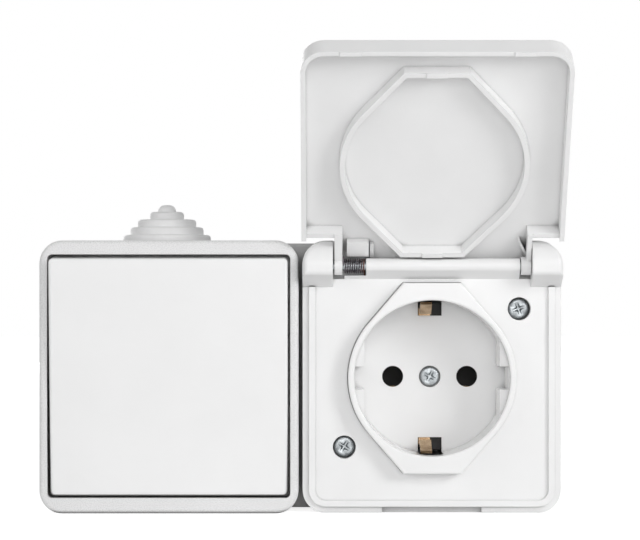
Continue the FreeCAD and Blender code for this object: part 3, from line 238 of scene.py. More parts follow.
@dataclass(frozen=True)
class MouldedPlastic:
    """Plastic shaped in a mould.

    The mould leaves a skin with a very fine grain, a slow unevenness from cooling, and edges that are never
    quite sharp. Inner corners and gaps are darkened with painted shade, where little light would come back
    out of them.
    """

    name: str
    colour: str
    shade: str
    roughness: float
    # Real mould grain is near 0.05 mm. It is drawn coarser, to show.
    grain_mm: float = 0.35
    grain: float = 0.05
    grain_depth: float = 0.12 * MM
    flow_mm: float = 14.0
    sink: float = 0.10
    sink_depth: float = 0.4 * MM
    speckle: str | None = None
    speckle_mm: float = 0.28
    speckle_span: tuple[float, float] = (0.42, 0.66)
    edge_mm: float = 0.22
    edge_samples: int = 6
    # How far round a point other walls are looked for; near walls darken its colour as painted shade.
    painted_shade_reach_mm: float = 2.4
    painted_shade_samples: int = 8
    # Colour of the painted shade in corners and gaps.
    painted_corner_shade: str = "#565655"
    painted_shade_span: tuple[float, float] = (0.03, 0.62)
    sheen_spread: tuple[float, float] = (-0.04, 0.05)
    ior: float = 1.52

    def speckled(self, tree: bpy.types.NodeTree, place: bpy.types.NodeSocket,
                 colour: bpy.types.NodeSocket) -> bpy.types.NodeSocket:
        """Strews the second colour over the first.

        Args:
            tree: the material's node tree.
            place: the object coordinates.
            colour: the colour under the speckles.

        Returns:
            The speckled colour.
        """
        spots = add_node(tree, "ShaderNodeTexNoise",
                         {"Vector": place, "Scale": per_metre(self.speckle_mm), "Detail": 1.0})
        share = add_node(tree, "ShaderNodeMapRange",
                         {"Value": spots.outputs["Fac"], **span(*self.speckle_span)})
        return blend(tree, share.outputs["Result"], colour, self.speckle)

    def build(self) -> bpy.types.Material:
        """Makes the node material.

        Returns:
            The finished material.
        """
        material, tree, place = new_material(self.name)
        flow = add_node(tree, "ShaderNodeTexNoise",
                        {"Vector": place, "Scale": per_metre(self.flow_mm), "Detail": 2.0})
        share = add_node(tree, "ShaderNodeMapRange", {"Value": flow.outputs["Fac"], **span(*NOISE_SPAN)})
        colour = blend(tree, share.outputs["Result"], self.colour, self.shade)
        if self.speckle:
            colour = self.speckled(tree, place, colour)
        # Painted shade: the colour is darkened towards the corner shade where other walls stand near, as
        # found by ambient occlusion.
        openness = add_node(tree, "ShaderNodeAmbientOcclusion", {"Distance": self.painted_shade_reach_mm * MM},
                            samples=self.painted_shade_samples)
        light = add_node(tree, "ShaderNodeMapRange",
                         {"Value": openness.outputs["AO"], **span(*self.painted_shade_span)})
        colour = blend(tree, light.outputs["Result"], self.painted_corner_shade, colour)
        grain = add_node(tree, "ShaderNodeTexNoise",
                         {"Vector": place, "Scale": per_metre(self.grain_mm), "Detail": 3.0})
        low, high = [self.roughness + spread for spread in self.sheen_spread]
        sheen = add_node(tree, "ShaderNodeMapRange",
                         {"Value": grain.outputs["Fac"], **span(*NOISE_SPAN, low, high)})
        soft_edge = add_node(tree, "ShaderNodeBevel", {"Radius": self.edge_mm * MM},
                             samples=self.edge_samples)
        dents = add_node(tree, "ShaderNodeBump", {"Strength": self.sink, "Distance": self.sink_depth,
                                                  "Height": flow.outputs["Fac"],
                                                  "Normal": soft_edge.outputs["Normal"]})
        skin = add_node(tree, "ShaderNodeBump", {"Strength": self.grain, "Distance": self.grain_depth,
                                                 "Height": grain.outputs["Fac"],
                                                 "Normal": dents.outputs["Normal"]})
        close_material(tree, {"Base Color": colour, "Roughness": sheen.outputs["Result"],
                              "IOR": self.ior, "Normal": skin.outputs["Normal"]})
        return material


@dataclass(frozen=True)
class Rubber:
    """Moulded or foamed rubber, satin, with a dusty bloom in patches."""

    name: str
    colour: str
    bloom: str
    roughness: float = 0.55
    # The real skin's grain is near 0.1 mm. It is drawn coarser, to show.
    grain_mm: float = 0.5
    grain: float = 0.12
    grain_depth: float = 0.15 * MM
    patch_mm: float = 5.0
    bloom_span: tuple[float, float] = (0.35, 0.7)
    sheen_spread: tuple[float, float] = (-0.06, 0.08)
    ior: float = 1.5

    def build(self) -> bpy.types.Material:
        """Makes the node material.

        Returns:
            The finished material.
        """
        material, tree, place = new_material(self.name)
        patch = add_node(tree, "ShaderNodeTexNoise",
                         {"Vector": place, "Scale": per_metre(self.patch_mm), "Detail": 3.0})
        share = add_node(tree, "ShaderNodeMapRange",
                         {"Value": patch.outputs["Fac"], **span(*self.bloom_span)})
        colour = blend(tree, share.outputs["Result"], self.colour, self.bloom)
        grain = add_node(tree, "ShaderNodeTexNoise",
                         {"Vector": place, "Scale": per_metre(self.grain_mm), "Detail": 3.0})
        low, high = [self.roughness + spread for spread in self.sheen_spread]
        sheen = add_node(tree, "ShaderNodeMapRange",
                         {"Value": patch.outputs["Fac"], **span(*NOISE_SPAN, low, high)})
        skin = add_node(tree, "ShaderNodeBump", {"Strength": self.grain, "Distance": self.grain_depth,
                                                 "Height": grain.outputs["Fac"]})
        close_material(tree, {"Base Color": colour, "Roughness": sheen.outputs["Result"],
                              "IOR": self.ior, "Normal": skin.outputs["Normal"]})
        return material


@dataclass(frozen=True)
class PlatedMetal:
    """Plated or rolled metal: bright, slightly uneven, with fine drawing marks along one axis."""

    name: str
    colour: str
    stain: str
    roughness: float
    stain_mm: float = 2.5
    stain_span: tuple[float, float] = (0.4, 0.75)
    # Real drawing marks are a few hundredths of a millimetre apart. They are drawn coarser, to show.
    mark_mm: float = 0.12
    mark: float = 0.1
    mark_depth: float = 0.05 * MM
    stretch: tuple[float, float, float] = (1.0, 0.15, 1.0)
    sheen_spread: tuple[float, float] = (-0.07, 0.1)

    def build(self) -> bpy.types.Material:
        """Makes the node material.

        Returns:
            The finished material.
        """
        material, tree, place = new_material(self.name)
        stain = add_node(tree, "ShaderNodeTexNoise",
                         {"Vector": place, "Scale": per_metre(self.stain_mm), "Detail": 4.0})
        share = add_node(tree, "ShaderNodeMapRange",
                         {"Value": stain.outputs["Fac"], **span(*self.stain_span)})
        colour = blend(tree, share.outputs["Result"], self.colour, self.stain)
        along = add_node(tree, "ShaderNodeMapping", {"Vector": place, "Scale": self.stretch})
        marks = add_node(tree, "ShaderNodeTexNoise", {"Vector": along.outputs["Vector"],
                                                      "Scale": per_metre(self.mark_mm), "Detail": 2.0})
        low, high = [self.roughness + spread for spread in self.sheen_spread]
        sheen = add_node(tree, "ShaderNodeMapRange",
                         {"Value": marks.outputs["Fac"], **span(*NOISE_SPAN, low, high)})
        skin = add_node(tree, "ShaderNodeBump", {"Strength": self.mark, "Distance": self.mark_depth,
                                                 "Height": marks.outputs["Fac"]})
        close_material(tree, {"Base Color": colour, "Metallic": 1.0,
                              "Roughness": sheen.outputs["Result"], "Normal": skin.outputs["Normal"]})
        return material


@dataclass(frozen=True)
class BlackenedWire:
    """Drawn and oil-blackened spring wire, worn bright in patches, with rust at one end of the coil."""

    name: str
    rust_x: float
    colour: str = "#3d383c"
    bright: str = "#7d767c"
    rust: str = "#7a4326"
    rust_reach: float = 1.4 * MM
    wear_mm: float = 0.7
    wear: float = 0.15
    wear_depth: float = 0.05 * MM
    wear_span: tuple[float, float] = (0.45, 0.7)
    rust_span: tuple[float, float] = (0.35, 0.6)
    rusty_share: float = 0.6
    metallic: tuple[float, float] = (1.0, 0.15)
    roughness: tuple[float, float] = (0.32, 0.85)

    def build(self) -> bpy.types.Material:
        """Makes the node material.

        Returns:
            The finished material.
        """
        material, tree, place = new_material(self.name)
        wear = add_node(tree, "ShaderNodeTexNoise",
                        {"Vector": place, "Scale": per_metre(self.wear_mm), "Detail": 4.0})
        worn = add_node(tree, "ShaderNodeMapRange", {"Value": wear.outputs["Fac"], **span(*self.wear_span)})
        steel = blend(tree, worn.outputs["Result"], self.colour, self.bright)
        axes = add_node(tree, "ShaderNodeSeparateXYZ", {"Vector": place})
        near = add_node(tree, "ShaderNodeMapRange",
                        {"Value": axes.outputs["X"], **span(self.rust_x - self.rust_reach, self.rust_x)})
        patch = add_node(tree, "ShaderNodeMapRange",
                         {"Value": wear.outputs["Fac"], **span(*self.rust_span)})
        share = add_node(tree, "ShaderNodeMath", {0: near.outputs["Result"], 1: patch.outputs["Result"]},
                         operation="MULTIPLY")
        rusty = {"Value": share.outputs["Value"]}
        colour = blend(tree, share.outputs["Value"], steel, self.rust)
        metal = add_node(tree, "ShaderNodeMapRange",
                         {**rusty, **span(0.0, self.rusty_share, *self.metallic)})
        sheen = add_node(tree, "ShaderNodeMapRange",
                         {**rusty, **span(0.0, self.rusty_share, *self.roughness)})
        skin = add_node(tree, "ShaderNodeBump", {"Strength": self.wear, "Distance": self.wear_depth,
                                                 "Height": wear.outputs["Fac"]})
        close_material(tree, {"Base Color": colour, "Metallic": metal.outputs["Result"],
                              "Roughness": sheen.outputs["Result"], "Normal": skin.outputs["Normal"]})
        return material


def make_finishes() -> dict[Slot, bpy.types.Material]:
    """Builds every finish once.

    Returns:
        The materials by slot.
    """
    spring_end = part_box("lid_spring")[1].x
    recipes = {
        # ABS from an eroded mould: a dull grey skin whose grain breaks up every highlight, with painted
        # shade in its corners.
        Slot.BOX: MouldedPlastic("moulded_grained_abs_box", "#bdbdbd", "#b7b7b7", 0.48, grain=0.16,
                                 painted_corner_shade="#8a8a8a"),
        # ABS with flakes in it, from a grained mould: off-white, faintly speckled, with a soft sheen.
        Slot.FRAME: MouldedPlastic("moulded_speckled_abs_frame", "#ebebeb", "#e7e7e7", 0.42, grain_mm=0.4,
                                   grain=0.1, speckle="#d9d9d9", speckle_mm=0.25, edge_mm=0.3),
        # ABS from a polished mould: the whitest part, glossy, with wide soft reflections.
        Slot.ROCKER: MouldedPlastic("moulded_polished_abs_rocker", "#f5f5f5", "#f3f3f3", 0.16, grain_mm=1.2,
                                    grain=0.02, sink=0.03, edge_mm=0.3),
        # ABS from a satin mould: white and half gloss, with light grey painted shade in its corners.
        Slot.COVER: MouldedPlastic("moulded_satin_abs_cover", "#efefef", "#ececec", 0.32, grain=0.05,
                                   painted_corner_shade="#929292"),
        # The same for the lid: a little duller, with darker painted shade in the corners of its rim and rib.
        Slot.LID: MouldedPlastic("moulded_satin_abs_lid", "#efefef", "#ebebeb", 0.34, grain=0.05),
        # Polyamide from a smooth mould: white and glossy, with light painted shade in its well.
        Slot.INSERT: MouldedPlastic("moulded_smooth_polyamide_insert", "#f1f1f1", "#eeeeee", 0.2, grain=0.02,
                                    sink=0.04, edge_mm=0.12, painted_corner_shade="#9c9c9c"),
        # Soft rubber, moulded: pale, without highlights, dusty on its steps.
        Slot.GLAND: Rubber("moulded_soft_rubber_gland", "#f4f4f4", "#ececec", roughness=0.5),
        # Foamed rubber: a dark matt line between box and covers.
        Slot.GASKET: Rubber("foamed_rubber_gasket", "#38393a", "#454646", roughness=0.75),
        # Thermoset, pressed: nearly black and dull, so that the openings look deep.
        Slot.CORE: MouldedPlastic("pressed_black_thermoset_core", "#1b1b1c", "#232324", 0.5, grain=0.1),
        # Brass strip, rolled: warm, streaked along its length and darkened in places.
        Slot.CONTACT: PlatedMetal("rolled_brass_strip", "#c2a888", "#8f7454", 0.22,
                                  stretch=(1.0, 0.1, 1.0)),
        # Steel, zinc-plated: cool grey, cloudy, with bright sparks in the screws' recesses.
        Slot.ZINC: PlatedMetal("zinc_plated_steel", "#a2a6a8", "#7d8184", 0.3, stain_mm=0.9),
        # Spring wire, drawn and oil-blackened: dark turns with thin highlights, brown at the coil's end.
        Slot.SPRING: BlackenedWire("drawn_blackened_spring_wire", rust_x=spring_end),
    }
    return {slot: recipe.build() for slot, recipe in recipes.items()}


@dataclass
class Dresser:
    """Hands out finishes and turns finished meshes into pieces."""

    frame: dict
    finishes: dict[Slot, bpy.types.Material]

    def dress(self, slot: Slot, nodes: Iterable[str]) -> None:
        """Gives carried nodes their finish.

        Args:
            slot: the finish.
            nodes: names of the nodes.
        """
        for name in nodes:
            mesh = self.frame["nodes"][name].data
            mesh.materials.clear()
            mesh.materials.append(self.finishes[slot])
            log.info("%s wears %s", name, self.finishes[slot].name)

    def piece(self, name: str, bm: bmesh.types.BMesh, slot: Slot, body: Body, replaced: Sequence[str] = (),
              smooth_angle: float = FLAT_SMOOTH) -> bpy.types.Object:
        """Turns a bmesh into a finished piece.

        Args:
            name: name of the piece.
            bm: the shape, freed afterwards.
            slot: its finish.
            body: what it rides on.
            replaced: nodes that it stands for.
            smooth_angle: sharpest edge in degrees that is shaded smooth.

        Returns:
            The new object.
        """
        bmesh.ops.recalc_face_normals(bm, faces=bm.faces)
        mesh = bpy.data.meshes.new(name)
        bm.to_mesh(mesh)
        bm.free()
        mesh.shade_smooth()
        mesh.set_sharp_from_angle(angle=math.radians(smooth_angle))
        mesh.materials.append(self.finishes[slot])
        item = bpy.data.objects.new(name, mesh)
        bpy.context.scene.collection.objects.link(item)
        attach(item, body.value)
        if replaced:
            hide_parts(*replaced)
        log.info("%s: %d faces on %s", name, len(mesh.polygons), body.value)
        return item


def edges_between(verts: Iterable[bmesh.types.BMVert]) -> list[bmesh.types.BMEdge]:
    """Gives the edges that join vertices of one set.

    Args:
        verts: the set.

    Returns:
        Its edges, each once.
    """
    inside = set(verts)
    return list({edge for vert in inside for edge in vert.link_edges if edge.other_vert(vert) in inside})


def extrude_ring(bm: bmesh.types.BMesh, verts: Iterable[bmesh.types.BMVert]) -> list[bmesh.types.BMVert]:
    """Extrudes a closed ring once.

    Args:
        bm: the shape.
        verts: the ring.

    Returns:
        The new ring, still on the old one.
    """
    grown = bmesh.ops.extrude_edge_only(bm, edges=edges_between(verts))
    return [item for item in grown["geom"] if isinstance(item, bmesh.types.BMVert)]


def wind(bm: bmesh.types.BMesh, ring: list[bmesh.types.BMVert], centre: Vector, along: Vector,
         turns: float, steps: int) -> list[bmesh.types.BMVert]:
    """Winds a ring of wire into an open coil.

    Args:
        bm: the shape.
        ring: the wire's section.
        centre: where the coil's axis starts.
        along: the coil's axis, as long as the coil.
        turns: number of turns, negative for the other hand.
        steps: steps in one turn.

    Returns:
        The ring at the coil's end.
    """
    count = int(steps * abs(turns))
    wound = bmesh.ops.spin(bm, geom=ring + edges_between(ring), cent=centre, axis=along.normalized(),
                           dvec=along / count, angle=math.tau * turns, steps=count)
    return [item for item in wound["geom_last"] if isinstance(item, bmesh.types.BMVert)]


@dataclass(frozen=True)
class CrossScrew:
    """Plated screw with a low domed head and a cross recess whose walls taper."""

    head_radius: float = 2.72 * MM
    head_height: float = 1.5 * MM
    flat_share: float = 0.8
    shank_radius: float = 1.2 * MM
    arm_half_width: float = 0.42 * MM
    arm_reach: float = 1.62 * MM
    # Half widths of an arm's tip and of its corner at the middle, as shares of the arm's own.
    tip_share: float = 0.8
    heel_share: float = 1.3
    recess_depth: float = 0.6 * MM
    recess_taper: float = 0.35
    # Shares of the head's radius and height, from its flat front to its back.
    bead: tuple[tuple[float, float], ...] = ((0.86, 0.05), (0.95, 0.16), (0.99, 0.32), (1.0, 0.5),
                                             (1.0, 0.92), (0.97, 1.0))
    point_share: float = 0.25
    segments: int = 40

    def add(self, bm: bmesh.types.BMesh, face: Vector, turn: float, end: float) -> None:
        """Adds one screw whose head looks along -Y.

        Args:
            bm: the shape that gets it.
            face: middle of the head's front.
            turn: turn of the cross in degrees.
            end: Y of the shank's end.
        """
        before = set(bm.verts)
        flat = self.head_radius * self.flat_share
        rim = bmesh.ops.create_circle(bm, segments=self.segments, radius=flat)["verts"]
        cross = self.cross_outline(bm)
        bmesh.ops.triangle_fill(bm, use_beauty=True, edges=edges_between(rim) + edges_between(cross))
        self.sink_recess(bm, cross)
        self.round_head(bm, rim, end - face.y)
        made = [vert for vert in bm.verts if vert not in before]
        stand = Matrix.Rotation(math.radians(turn), 4, "Y") @ Matrix.Rotation(math.pi / 2, 4, "X")
        bmesh.ops.transform(bm, matrix=Matrix.Translation(face) @ stand, verts=made)

    def cross_outline(self, bm: bmesh.types.BMesh) -> list[bmesh.types.BMVert]:
        """Draws the cross in the plane of the head.

        Args:
            bm: the shape that gets it.

        Returns:
            The corners of the cross, in order.
        """
        tip, heel = self.arm_half_width * self.tip_share, self.arm_half_width * self.heel_share
        arm = (Vector((self.arm_reach, -tip, 0)), Vector((self.arm_reach, tip, 0)), Vector((heel, heel, 0)))
        quarters = [Matrix.Rotation(math.pi / 2 * quarter, 4, "Z") for quarter in range(4)]
        verts = [bm.verts.new(quarter @ corner) for quarter in quarters for corner in arm]
        for first, second in zip(verts, verts[1:] + verts[:1]):
            bm.edges.new((first, second))
        return verts

    def sink_recess(self, bm: bmesh.types.BMesh, cross: list[bmesh.types.BMVert]) -> None:
        """Sinks the cross with tapering walls and closes its foot.

        Args:
            bm: the shape.
            cross: the corners of the cross.
        """
        foot = extrude_ring(bm, cross)
        bmesh.ops.translate(bm, verts=foot, vec=(0, 0, -self.recess_depth))
        bmesh.ops.scale(bm, verts=foot, vec=(self.recess_taper, self.recess_taper, 1))
        bmesh.ops.triangle_fill(bm, use_beauty=True, edges=edges_between(foot))

    def round_head(self, bm: bmesh.types.BMesh, rim: list[bmesh.types.BMVert], length: float) -> None:
        """Rounds the head over to its edge and draws the shank out behind it.

        Args:
            bm: the shape.
            rim: the edge of the head's flat front.
            length: length of the whole screw.
        """
        height, shank = self.head_height, self.shank_radius
        profile = [(self.head_radius * wide, -height * down) for wide, down in self.bead]
        profile += [(shank, -height), (shank, shank - length), (shank * self.point_share, -length)]
        wide, level = self.head_radius * self.flat_share, 0.0
        for new_wide, new_level in profile:
            rim = extrude_ring(bm, rim)
            bmesh.ops.scale(bm, verts=rim, vec=(new_wide / wide, new_wide / wide, 1))
            bmesh.ops.translate(bm, verts=rim, vec=(0, 0, new_level - level))
            wide, level = new_wide, new_level
        bmesh.ops.contextual_create(bm, geom=edges_between(rim))


@dataclass(frozen=True)
class RubberGland:
    """Stepped rubber gland, thin enough on top to be cut to the cable."""

    # Radius and height of each step, from the tip down.
    steps_mm: tuple[tuple[float, float], ...] = ((2.35, 1.8), (4.4, 2.0), (7.6, 2.0), (9.5, 2.0),
                                                 (11.4, 2.4))
    # Radius and depth below the last step, of the neck in the box's wall and of the hollow inside.
    neck_mm: tuple[tuple[float, float], ...] = ((8.9, 0.0), (8.9, 2.0), (10.4, 2.0), (10.4, 3.6),
                                                (7.6, 3.6))
    hollow_mm: tuple[tuple[float, float], ...] = ((5.52, -4.4), (1.8, -6.4), (0.0, -6.4))
    edge_mm: float = 0.85
    tip_mm: float = 1.7
    merge_mm: float = 0.005
    arc_parts: int = 6
    turns: int = 72

    def outline(self) -> list[tuple[float, float]]:
        """Gives the profile from the tip down the steps, with every outer edge rounded.

        Returns:
            Radius and height of its points in millimetres.
        """
        line, level, bend = [(0.0, 0.0)], 0.0, self.tip_mm
        for radius, drop in self.steps_mm:
            angles = [math.pi / 2 * part / self.arc_parts for part in range(self.arc_parts + 1)]
            line += [(radius - bend + bend * math.sin(angle), level - bend + bend * math.cos(angle))
                     for angle in angles]
            level -= drop
            line.append((radius, level))
            bend = self.edge_mm
        return line + [(radius, level - drop) for radius, drop in self.neck_mm + self.hollow_mm]

    def shape(self, top: Vector) -> bmesh.types.BMesh:
        """Spins the gland.

        Args:
            top: its highest point, on its axis.

        Returns:
            The finished shape.
        """
        bm = bmesh.new()
        verts = [bm.verts.new((radius * MM, 0, height * MM)) for radius, height in self.outline()]
        edges = [bm.edges.new(pair) for pair in zip(verts, verts[1:])]
        bmesh.ops.spin(bm, geom=verts + edges, cent=(0, 0, 0), axis=(0, 0, 1), angle=math.tau,
                       steps=self.turns, use_merge=True)
        bmesh.ops.remove_doubles(bm, verts=bm.verts, dist=self.merge_mm * MM)
        bmesh.ops.recalc_face_normals(bm, faces=bm.faces)
        bmesh.ops.translate(bm, verts=bm.verts, vec=top)
        return bm


@dataclass(frozen=True)
class TorsionSpring:
    """Thin torsion spring on the lid's pin: an open coil, one leg in the cover and one on the lid."""

    coil_radius: float = 1.72 * MM
    wire_radius: float = 0.16 * MM
    turns: int = 9
    steps: int = 24
    sides: int = 8
    lid_leg: float = 2.4 * MM
    cover_leg: float = 2.5 * MM

    def ring(self, bm: bmesh.types.BMesh, place: Vector) -> list[bmesh.types.BMVert]:
        """Draws the wire's section, facing up."""
        return bmesh.ops.create_circle(bm, segments=self.sides, radius=self.wire_radius,
                                       matrix=Matrix.Translation(place))["verts"]

    def coil(self, start: Vector, length: float) -> bmesh.types.BMesh:
        """Winds the coil from the front at its left end and ends it with the leg in the cover.

        Args:
            start: left end of the coil's axis.
            length: its length along X.

        Returns:
            The finished shape.
        """
        bm = bmesh.new()
        first = self.ring(bm, start + Vector((0, -self.coil_radius, 0)))
        # The half turn at the end brings the wire to the back, where the leg starts.
        turns = -(self.turns + 0.5)
        leg = extrude_ring(bm, wind(bm, first, start, Vector((length, 0, 0)), turns, self.steps))
        bmesh.ops.translate(bm, verts=leg, vec=(0, 0, -self.cover_leg))
        for end in (first, leg):
            bmesh.ops.contextual_create(bm, geom=edges_between(end))
        return bm

    def leg(self, start: Vector) -> bmesh.types.BMesh:
        """Draws the straight leg that stands up from the coil's left end along the lid's arm.

        Args:
            start: left end of the coil's axis.

        Returns:
            The finished shape.
        """
        bm = bmesh.new()
        foot = self.ring(bm, start + Vector((0, -self.coil_radius, 0)))
        tip = extrude_ring(bm, foot)
        bmesh.ops.translate(bm, verts=tip, vec=(0, 0, self.lid_leg))
        for end in (foot, tip):
            bmesh.ops.contextual_create(bm, geom=edges_between(end))
        return bm


@dataclass
class DetentCoil:
    """Open coil behind the detent plunger, wound at one length: it does not shorten as the plunger goes in.
    """

    coil_radius: float = 1.3 * MM
    wire_radius: float = 0.22 * MM
    turns: int = 6
    steps: int = 20
    sides: int = 8
    length: float = 8.1 * MM
    travel: float = 0.85 * MM
    tilt: float = math.radians(5.0)

    def build(self, dresser: Dresser) -> None:
        """Winds the coil in the tilted rocker, at its full length.

        Args:
            dresser: turns the shape into a piece.
        """
        low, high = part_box("detent_spring")
        along = Vector((0, -math.cos(self.tilt), -math.sin(self.tilt))) * self.length
        rear = (low + high) / 2 - along / 2
        bm = bmesh.new()
        place = Matrix.Translation(rear + Vector((self.coil_radius, 0, 0)))
        circle = bmesh.ops.create_circle(bm, segments=self.sides, radius=self.wire_radius, matrix=place)
        first = circle["verts"]
        for end in (first, wind(bm, first, rear, along, self.turns, self.steps)):
            bmesh.ops.contextual_create(bm, geom=edges_between(end))
        item = dresser.piece("detent_coil", bm, Slot.SPRING, Body.ROCKER, ["detent_spring"], WIRE_SMOOTH)
        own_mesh(item)


@dataclass
class Housing:
    """The common back box with its seals."""

    dresser: Dresser

    def build(self) -> None:
        """Dresses the box and its two seals and spins the gland."""
        self.dresser.dress(Slot.BOX, ["back_box"])
        self.dresser.dress(Slot.GASKET, ["switch_gasket", "socket_gasket"])
        low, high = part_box("cable_gland")
        top = Vector(((low.x + high.x) / 2, (low.y + high.y) / 2, high.z))
        self.dresser.piece("gland", RubberGland().shape(top), Slot.GLAND, Body.HOUSING, ["cable_gland"],
                           STEP_SMOOTH)


@dataclass
class SwitchUnit:
    """The rocker switch: frame, rocker and mechanism."""

    dresser: Dresser

    def build(self) -> None:
        """Dresses the frame, the rocker and the mechanism."""
        self.dresser.dress(Slot.FRAME, ["switch_frame"])
        self.dresser.dress(Slot.ROCKER, ["rocker_key"])
        self.dresser.dress(Slot.CORE, ["switch_core"])
        self.dresser.dress(Slot.BOX, ["rocker_carrier"])
        self.dresser.dress(Slot.CONTACT, ["fixed_contact_live", "fixed_contact_load", "contact_arm"])
        self.dresser.dress(Slot.ZINC, ["frame_screws", "switch_core_screws", "switch_terminal_screws",
                                       "detent_plunger"])
        DetentCoil().build(self.dresser)


@dataclass
class SocketUnit:
    """The earthed socket: cover, well and contacts."""

    dresser: Dresser
    carried_head_radius: float = 2.35 * MM
    cover_turns: tuple[float, float] = (32.0, -18.0)
    well_turn: float = 27.0
    well_head_radius: float = 2.55 * MM

    def build(self) -> None:
        """Dresses the cover, the well and the contacts."""
        self.dresser.dress(Slot.COVER, ["socket_cover"])
        self.dresser.dress(Slot.INSERT, ["socket_insert"])
        self.dresser.dress(Slot.CORE, ["socket_core"])
        self.dresser.dress(Slot.CONTACT, ["earth_bracket", "live_contact", "neutral_contact"])
        self.dresser.dress(Slot.ZINC, ["socket_core_screws", "socket_terminal_screws"])
        self.front_screws()

    def front_screws(self) -> None:
        """Turns the three screws that are seen from the front, about the axes of the carried ones."""
        inset = self.carried_head_radius
        low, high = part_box("cover_screws")
        left = Vector((low.x + inset, low.y, low.z + inset))
        right = Vector((high.x - inset, low.y, high.z - inset))
        pair = bmesh.new()
        for face, turn in zip((left, right), self.cover_turns):
            CrossScrew().add(pair, face, turn, high.y)
        self.dresser.piece("cover_fixing_screws", pair, Slot.ZINC, Body.HOUSING, ["cover_screws"])
        low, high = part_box("centre_screw")
        single = bmesh.new()
        screw = CrossScrew(head_radius=self.well_head_radius)
        screw.add(single, Vector((low.x + inset, low.y, low.z + inset)), self.well_turn, high.y)
        self.dresser.piece("well_fixing_screw", single, Slot.ZINC, Body.HOUSING, ["centre_screw"])


@dataclass
class HingedLid:
    """The sprung lid with its pins and spring."""

    dresser: Dresser
    # How far the spring stands left of the CAD's, so that its leg clears the slot's wall as the lid closes.
    leg_room: float = 0.06 * MM

    def build(self) -> None:
        """Dresses the lid, its pins and its spring."""
        self.dresser.dress(Slot.LID, ["lid"])
        self.dresser.dress(Slot.ZINC, ["hinge_pin_left", "hinge_pin_right"])
        low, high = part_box("lid_spring")
        spring = TorsionSpring()
        left = low.x + spring.wire_radius - self.leg_room
        start = Vector((left, (low.y + high.y) / 2, (low.z + high.z) / 2))
        coil = spring.coil(start, high.x - low.x - spring.wire_radius * 2)
        self.dresser.piece("lid_torsion_spring", coil, Slot.SPRING, Body.HOUSING, ["lid_spring"],
                           WIRE_SMOOTH)
        self.dresser.piece("lid_spring_leg", spring.leg(start), Slot.SPRING, Body.LID, (), WIRE_SMOOTH)


@dataclass(frozen=True)
class Lamp:
    """Square soft lamp that faces the object: where it hangs, its width and its power in watts."""

    name: str
    place: tuple[float, float, float]
    size: float
    power: float

    def build(self) -> None:
        """Hangs the lamp."""
        data = bpy.data.lights.new(self.name, "AREA")
        data.shape = "SQUARE"
        data.size = self.size
        data.energy = self.power
        item = bpy.data.objects.new(self.name, data)
        item.location = self.place
        item.rotation_euler = (-Vector(self.place)).to_track_quat("-Z", "Y").to_euler()
        bpy.context.scene.collection.objects.link(item)


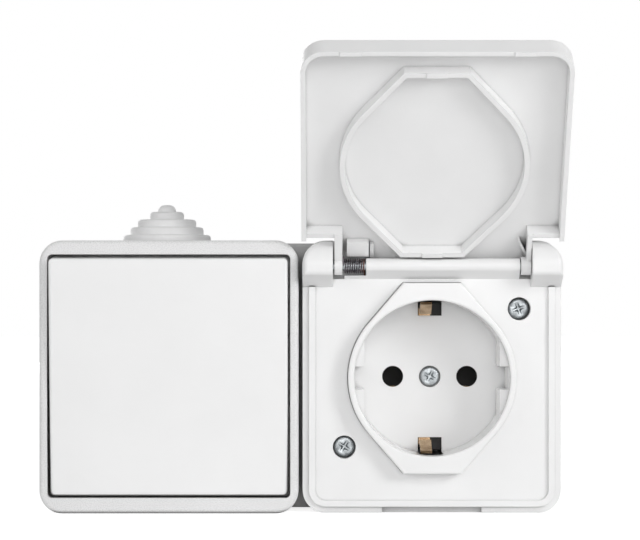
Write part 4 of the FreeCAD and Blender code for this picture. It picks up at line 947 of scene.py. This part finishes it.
@dataclass
class Studio:
    """Pale floor, soft lamps and the camera at the photograph's viewing angle."""

    image_size: tuple[float, float] = (640.0, 540.0)
    axis_pixel: tuple[float, float] = (326.0, 300.0)
    camera_place: tuple[float, float, float] = (6.4 * MM, -681.0 * MM, 19.3 * MM)
    focal_pixels: float = 2560.0
    sensor_mm: float = 36.0
    floor_size: float = 6.0
    floor_colour: str = "#f4f4f4"
    floor_glow: float = 0.8
    ambient: float = 0.32
    lamps: tuple[Lamp, ...] = (
        Lamp("key", (0.47, -0.5, 0.24), 0.25, 1.75),
        Lamp("front", (0.2, -1.5, 0.25), 1.2, 2.8),
        Lamp("softbox", (0.09, -1.5, 0.29), 0.5, 2.0),
        Lamp("fill", (-0.95, -0.95, 0.25), 0.9, 3.6),
        Lamp("back", (-0.5, 1.4, 0.15), 0.9, 5.0),
    )

    def camera(self) -> None:
        """Places the camera straight in front, with the shift that the photograph's framing needs."""
        data = bpy.data.cameras.new("camera")
        width, height = self.image_size
        data.sensor_fit = "HORIZONTAL"
        data.sensor_width = self.sensor_mm
        data.lens = self.focal_pixels / width * self.sensor_mm
        data.shift_x = (width / 2 - self.axis_pixel[0]) / width
        data.shift_y = (self.axis_pixel[1] - height / 2) / width
        item = bpy.data.objects.new("camera", data)
        item.location = self.camera_place
        item.rotation_euler = (math.pi / 2, 0, 0)
        bpy.context.scene.collection.objects.link(item)
        bpy.context.scene.camera = item

    def floor(self, lowest: float) -> None:
        """Lays a pale floor under the object.

        Args:
            lowest: height of the object's foot.
        """
        bm = bmesh.new()
        bmesh.ops.create_grid(bm, x_segments=1, y_segments=1, size=self.floor_size / 2)
        bmesh.ops.translate(bm, verts=bm.verts, vec=(0, 0, lowest))
        mesh = bpy.data.meshes.new("floor")
        bm.to_mesh(mesh)
        bm.free()
        material = bpy.data.materials.new("pale_floor")
        material.use_nodes = True
        tree = material.node_tree
        tree.nodes.clear()
        paint = add_node(tree, "ShaderNodeBsdfDiffuse", {"Color": linear(self.floor_colour)})
        glow = add_node(tree, "ShaderNodeEmission", {"Strength": self.floor_glow})
        bright = add_node(tree, "ShaderNodeAddShader",
                          {0: paint.outputs["BSDF"], 1: glow.outputs["Emission"]})
        path = add_node(tree, "ShaderNodeLightPath")
        seen = add_node(tree, "ShaderNodeMath",
                        {0: path.outputs["Is Camera Ray"], 1: path.outputs["Is Glossy Ray"]},
                        operation="MAXIMUM")
        mix = add_node(tree, "ShaderNodeMixShader", {"Fac": seen.outputs["Value"], 1: paint.outputs["BSDF"],
                                                     2: bright.outputs["Shader"]})
        add_node(tree, "ShaderNodeOutputMaterial", {"Surface": mix.outputs["Shader"]})
        mesh.materials.append(material)
        item = bpy.data.objects.new("floor", mesh)
        bpy.context.scene.collection.objects.link(item)
        item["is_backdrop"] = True

    def world(self) -> None:
        """Fills the room with even light and shows it as white."""
        world = bpy.data.worlds.new("studio")
        bpy.context.scene.world = world
        world.use_nodes = True
        tree = world.node_tree
        tree.nodes.clear()
        path = add_node(tree, "ShaderNodeLightPath")
        seen = path.outputs["Is Camera Ray"]
        for ray in ("Is Glossy Ray", "Is Transmission Ray"):
            seen = add_node(tree, "ShaderNodeMath", {0: seen, 1: path.outputs[ray]},
                            operation="MAXIMUM").outputs["Value"]
        strength = add_node(tree, "ShaderNodeMapRange",
                            {"Value": seen, **span(0.0, 1.0, self.ambient, 1.0)})
        back = add_node(tree, "ShaderNodeBackground", {"Color": linear("#ffffff"),
                                                       "Strength": strength.outputs["Result"]})
        add_node(tree, "ShaderNodeOutputWorld", {"Surface": back.outputs["Background"]})

    def build(self, lowest: float) -> None:
        """Sets the whole studio up.

        Args:
            lowest: height of the object's foot.
        """
        self.camera()
        self.floor(lowest)
        self.world()
        for lamp in self.lamps:
            lamp.build()
        bpy.context.scene.view_settings.view_transform = "Standard"


def main() -> None:
    """Loads the frame, dresses it and sets the studio up."""
    logging.basicConfig(level=logging.INFO, format="%(message)s")
    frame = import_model()
    cad_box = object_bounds()
    dresser = Dresser(frame, make_finishes())
    for unit in (Housing(dresser), SwitchUnit(dresser), SocketUnit(dresser), HingedLid(dresser)):
        unit.build()
    Studio().build(cad_box[0][2])


if __name__ == "__main__":
    main()
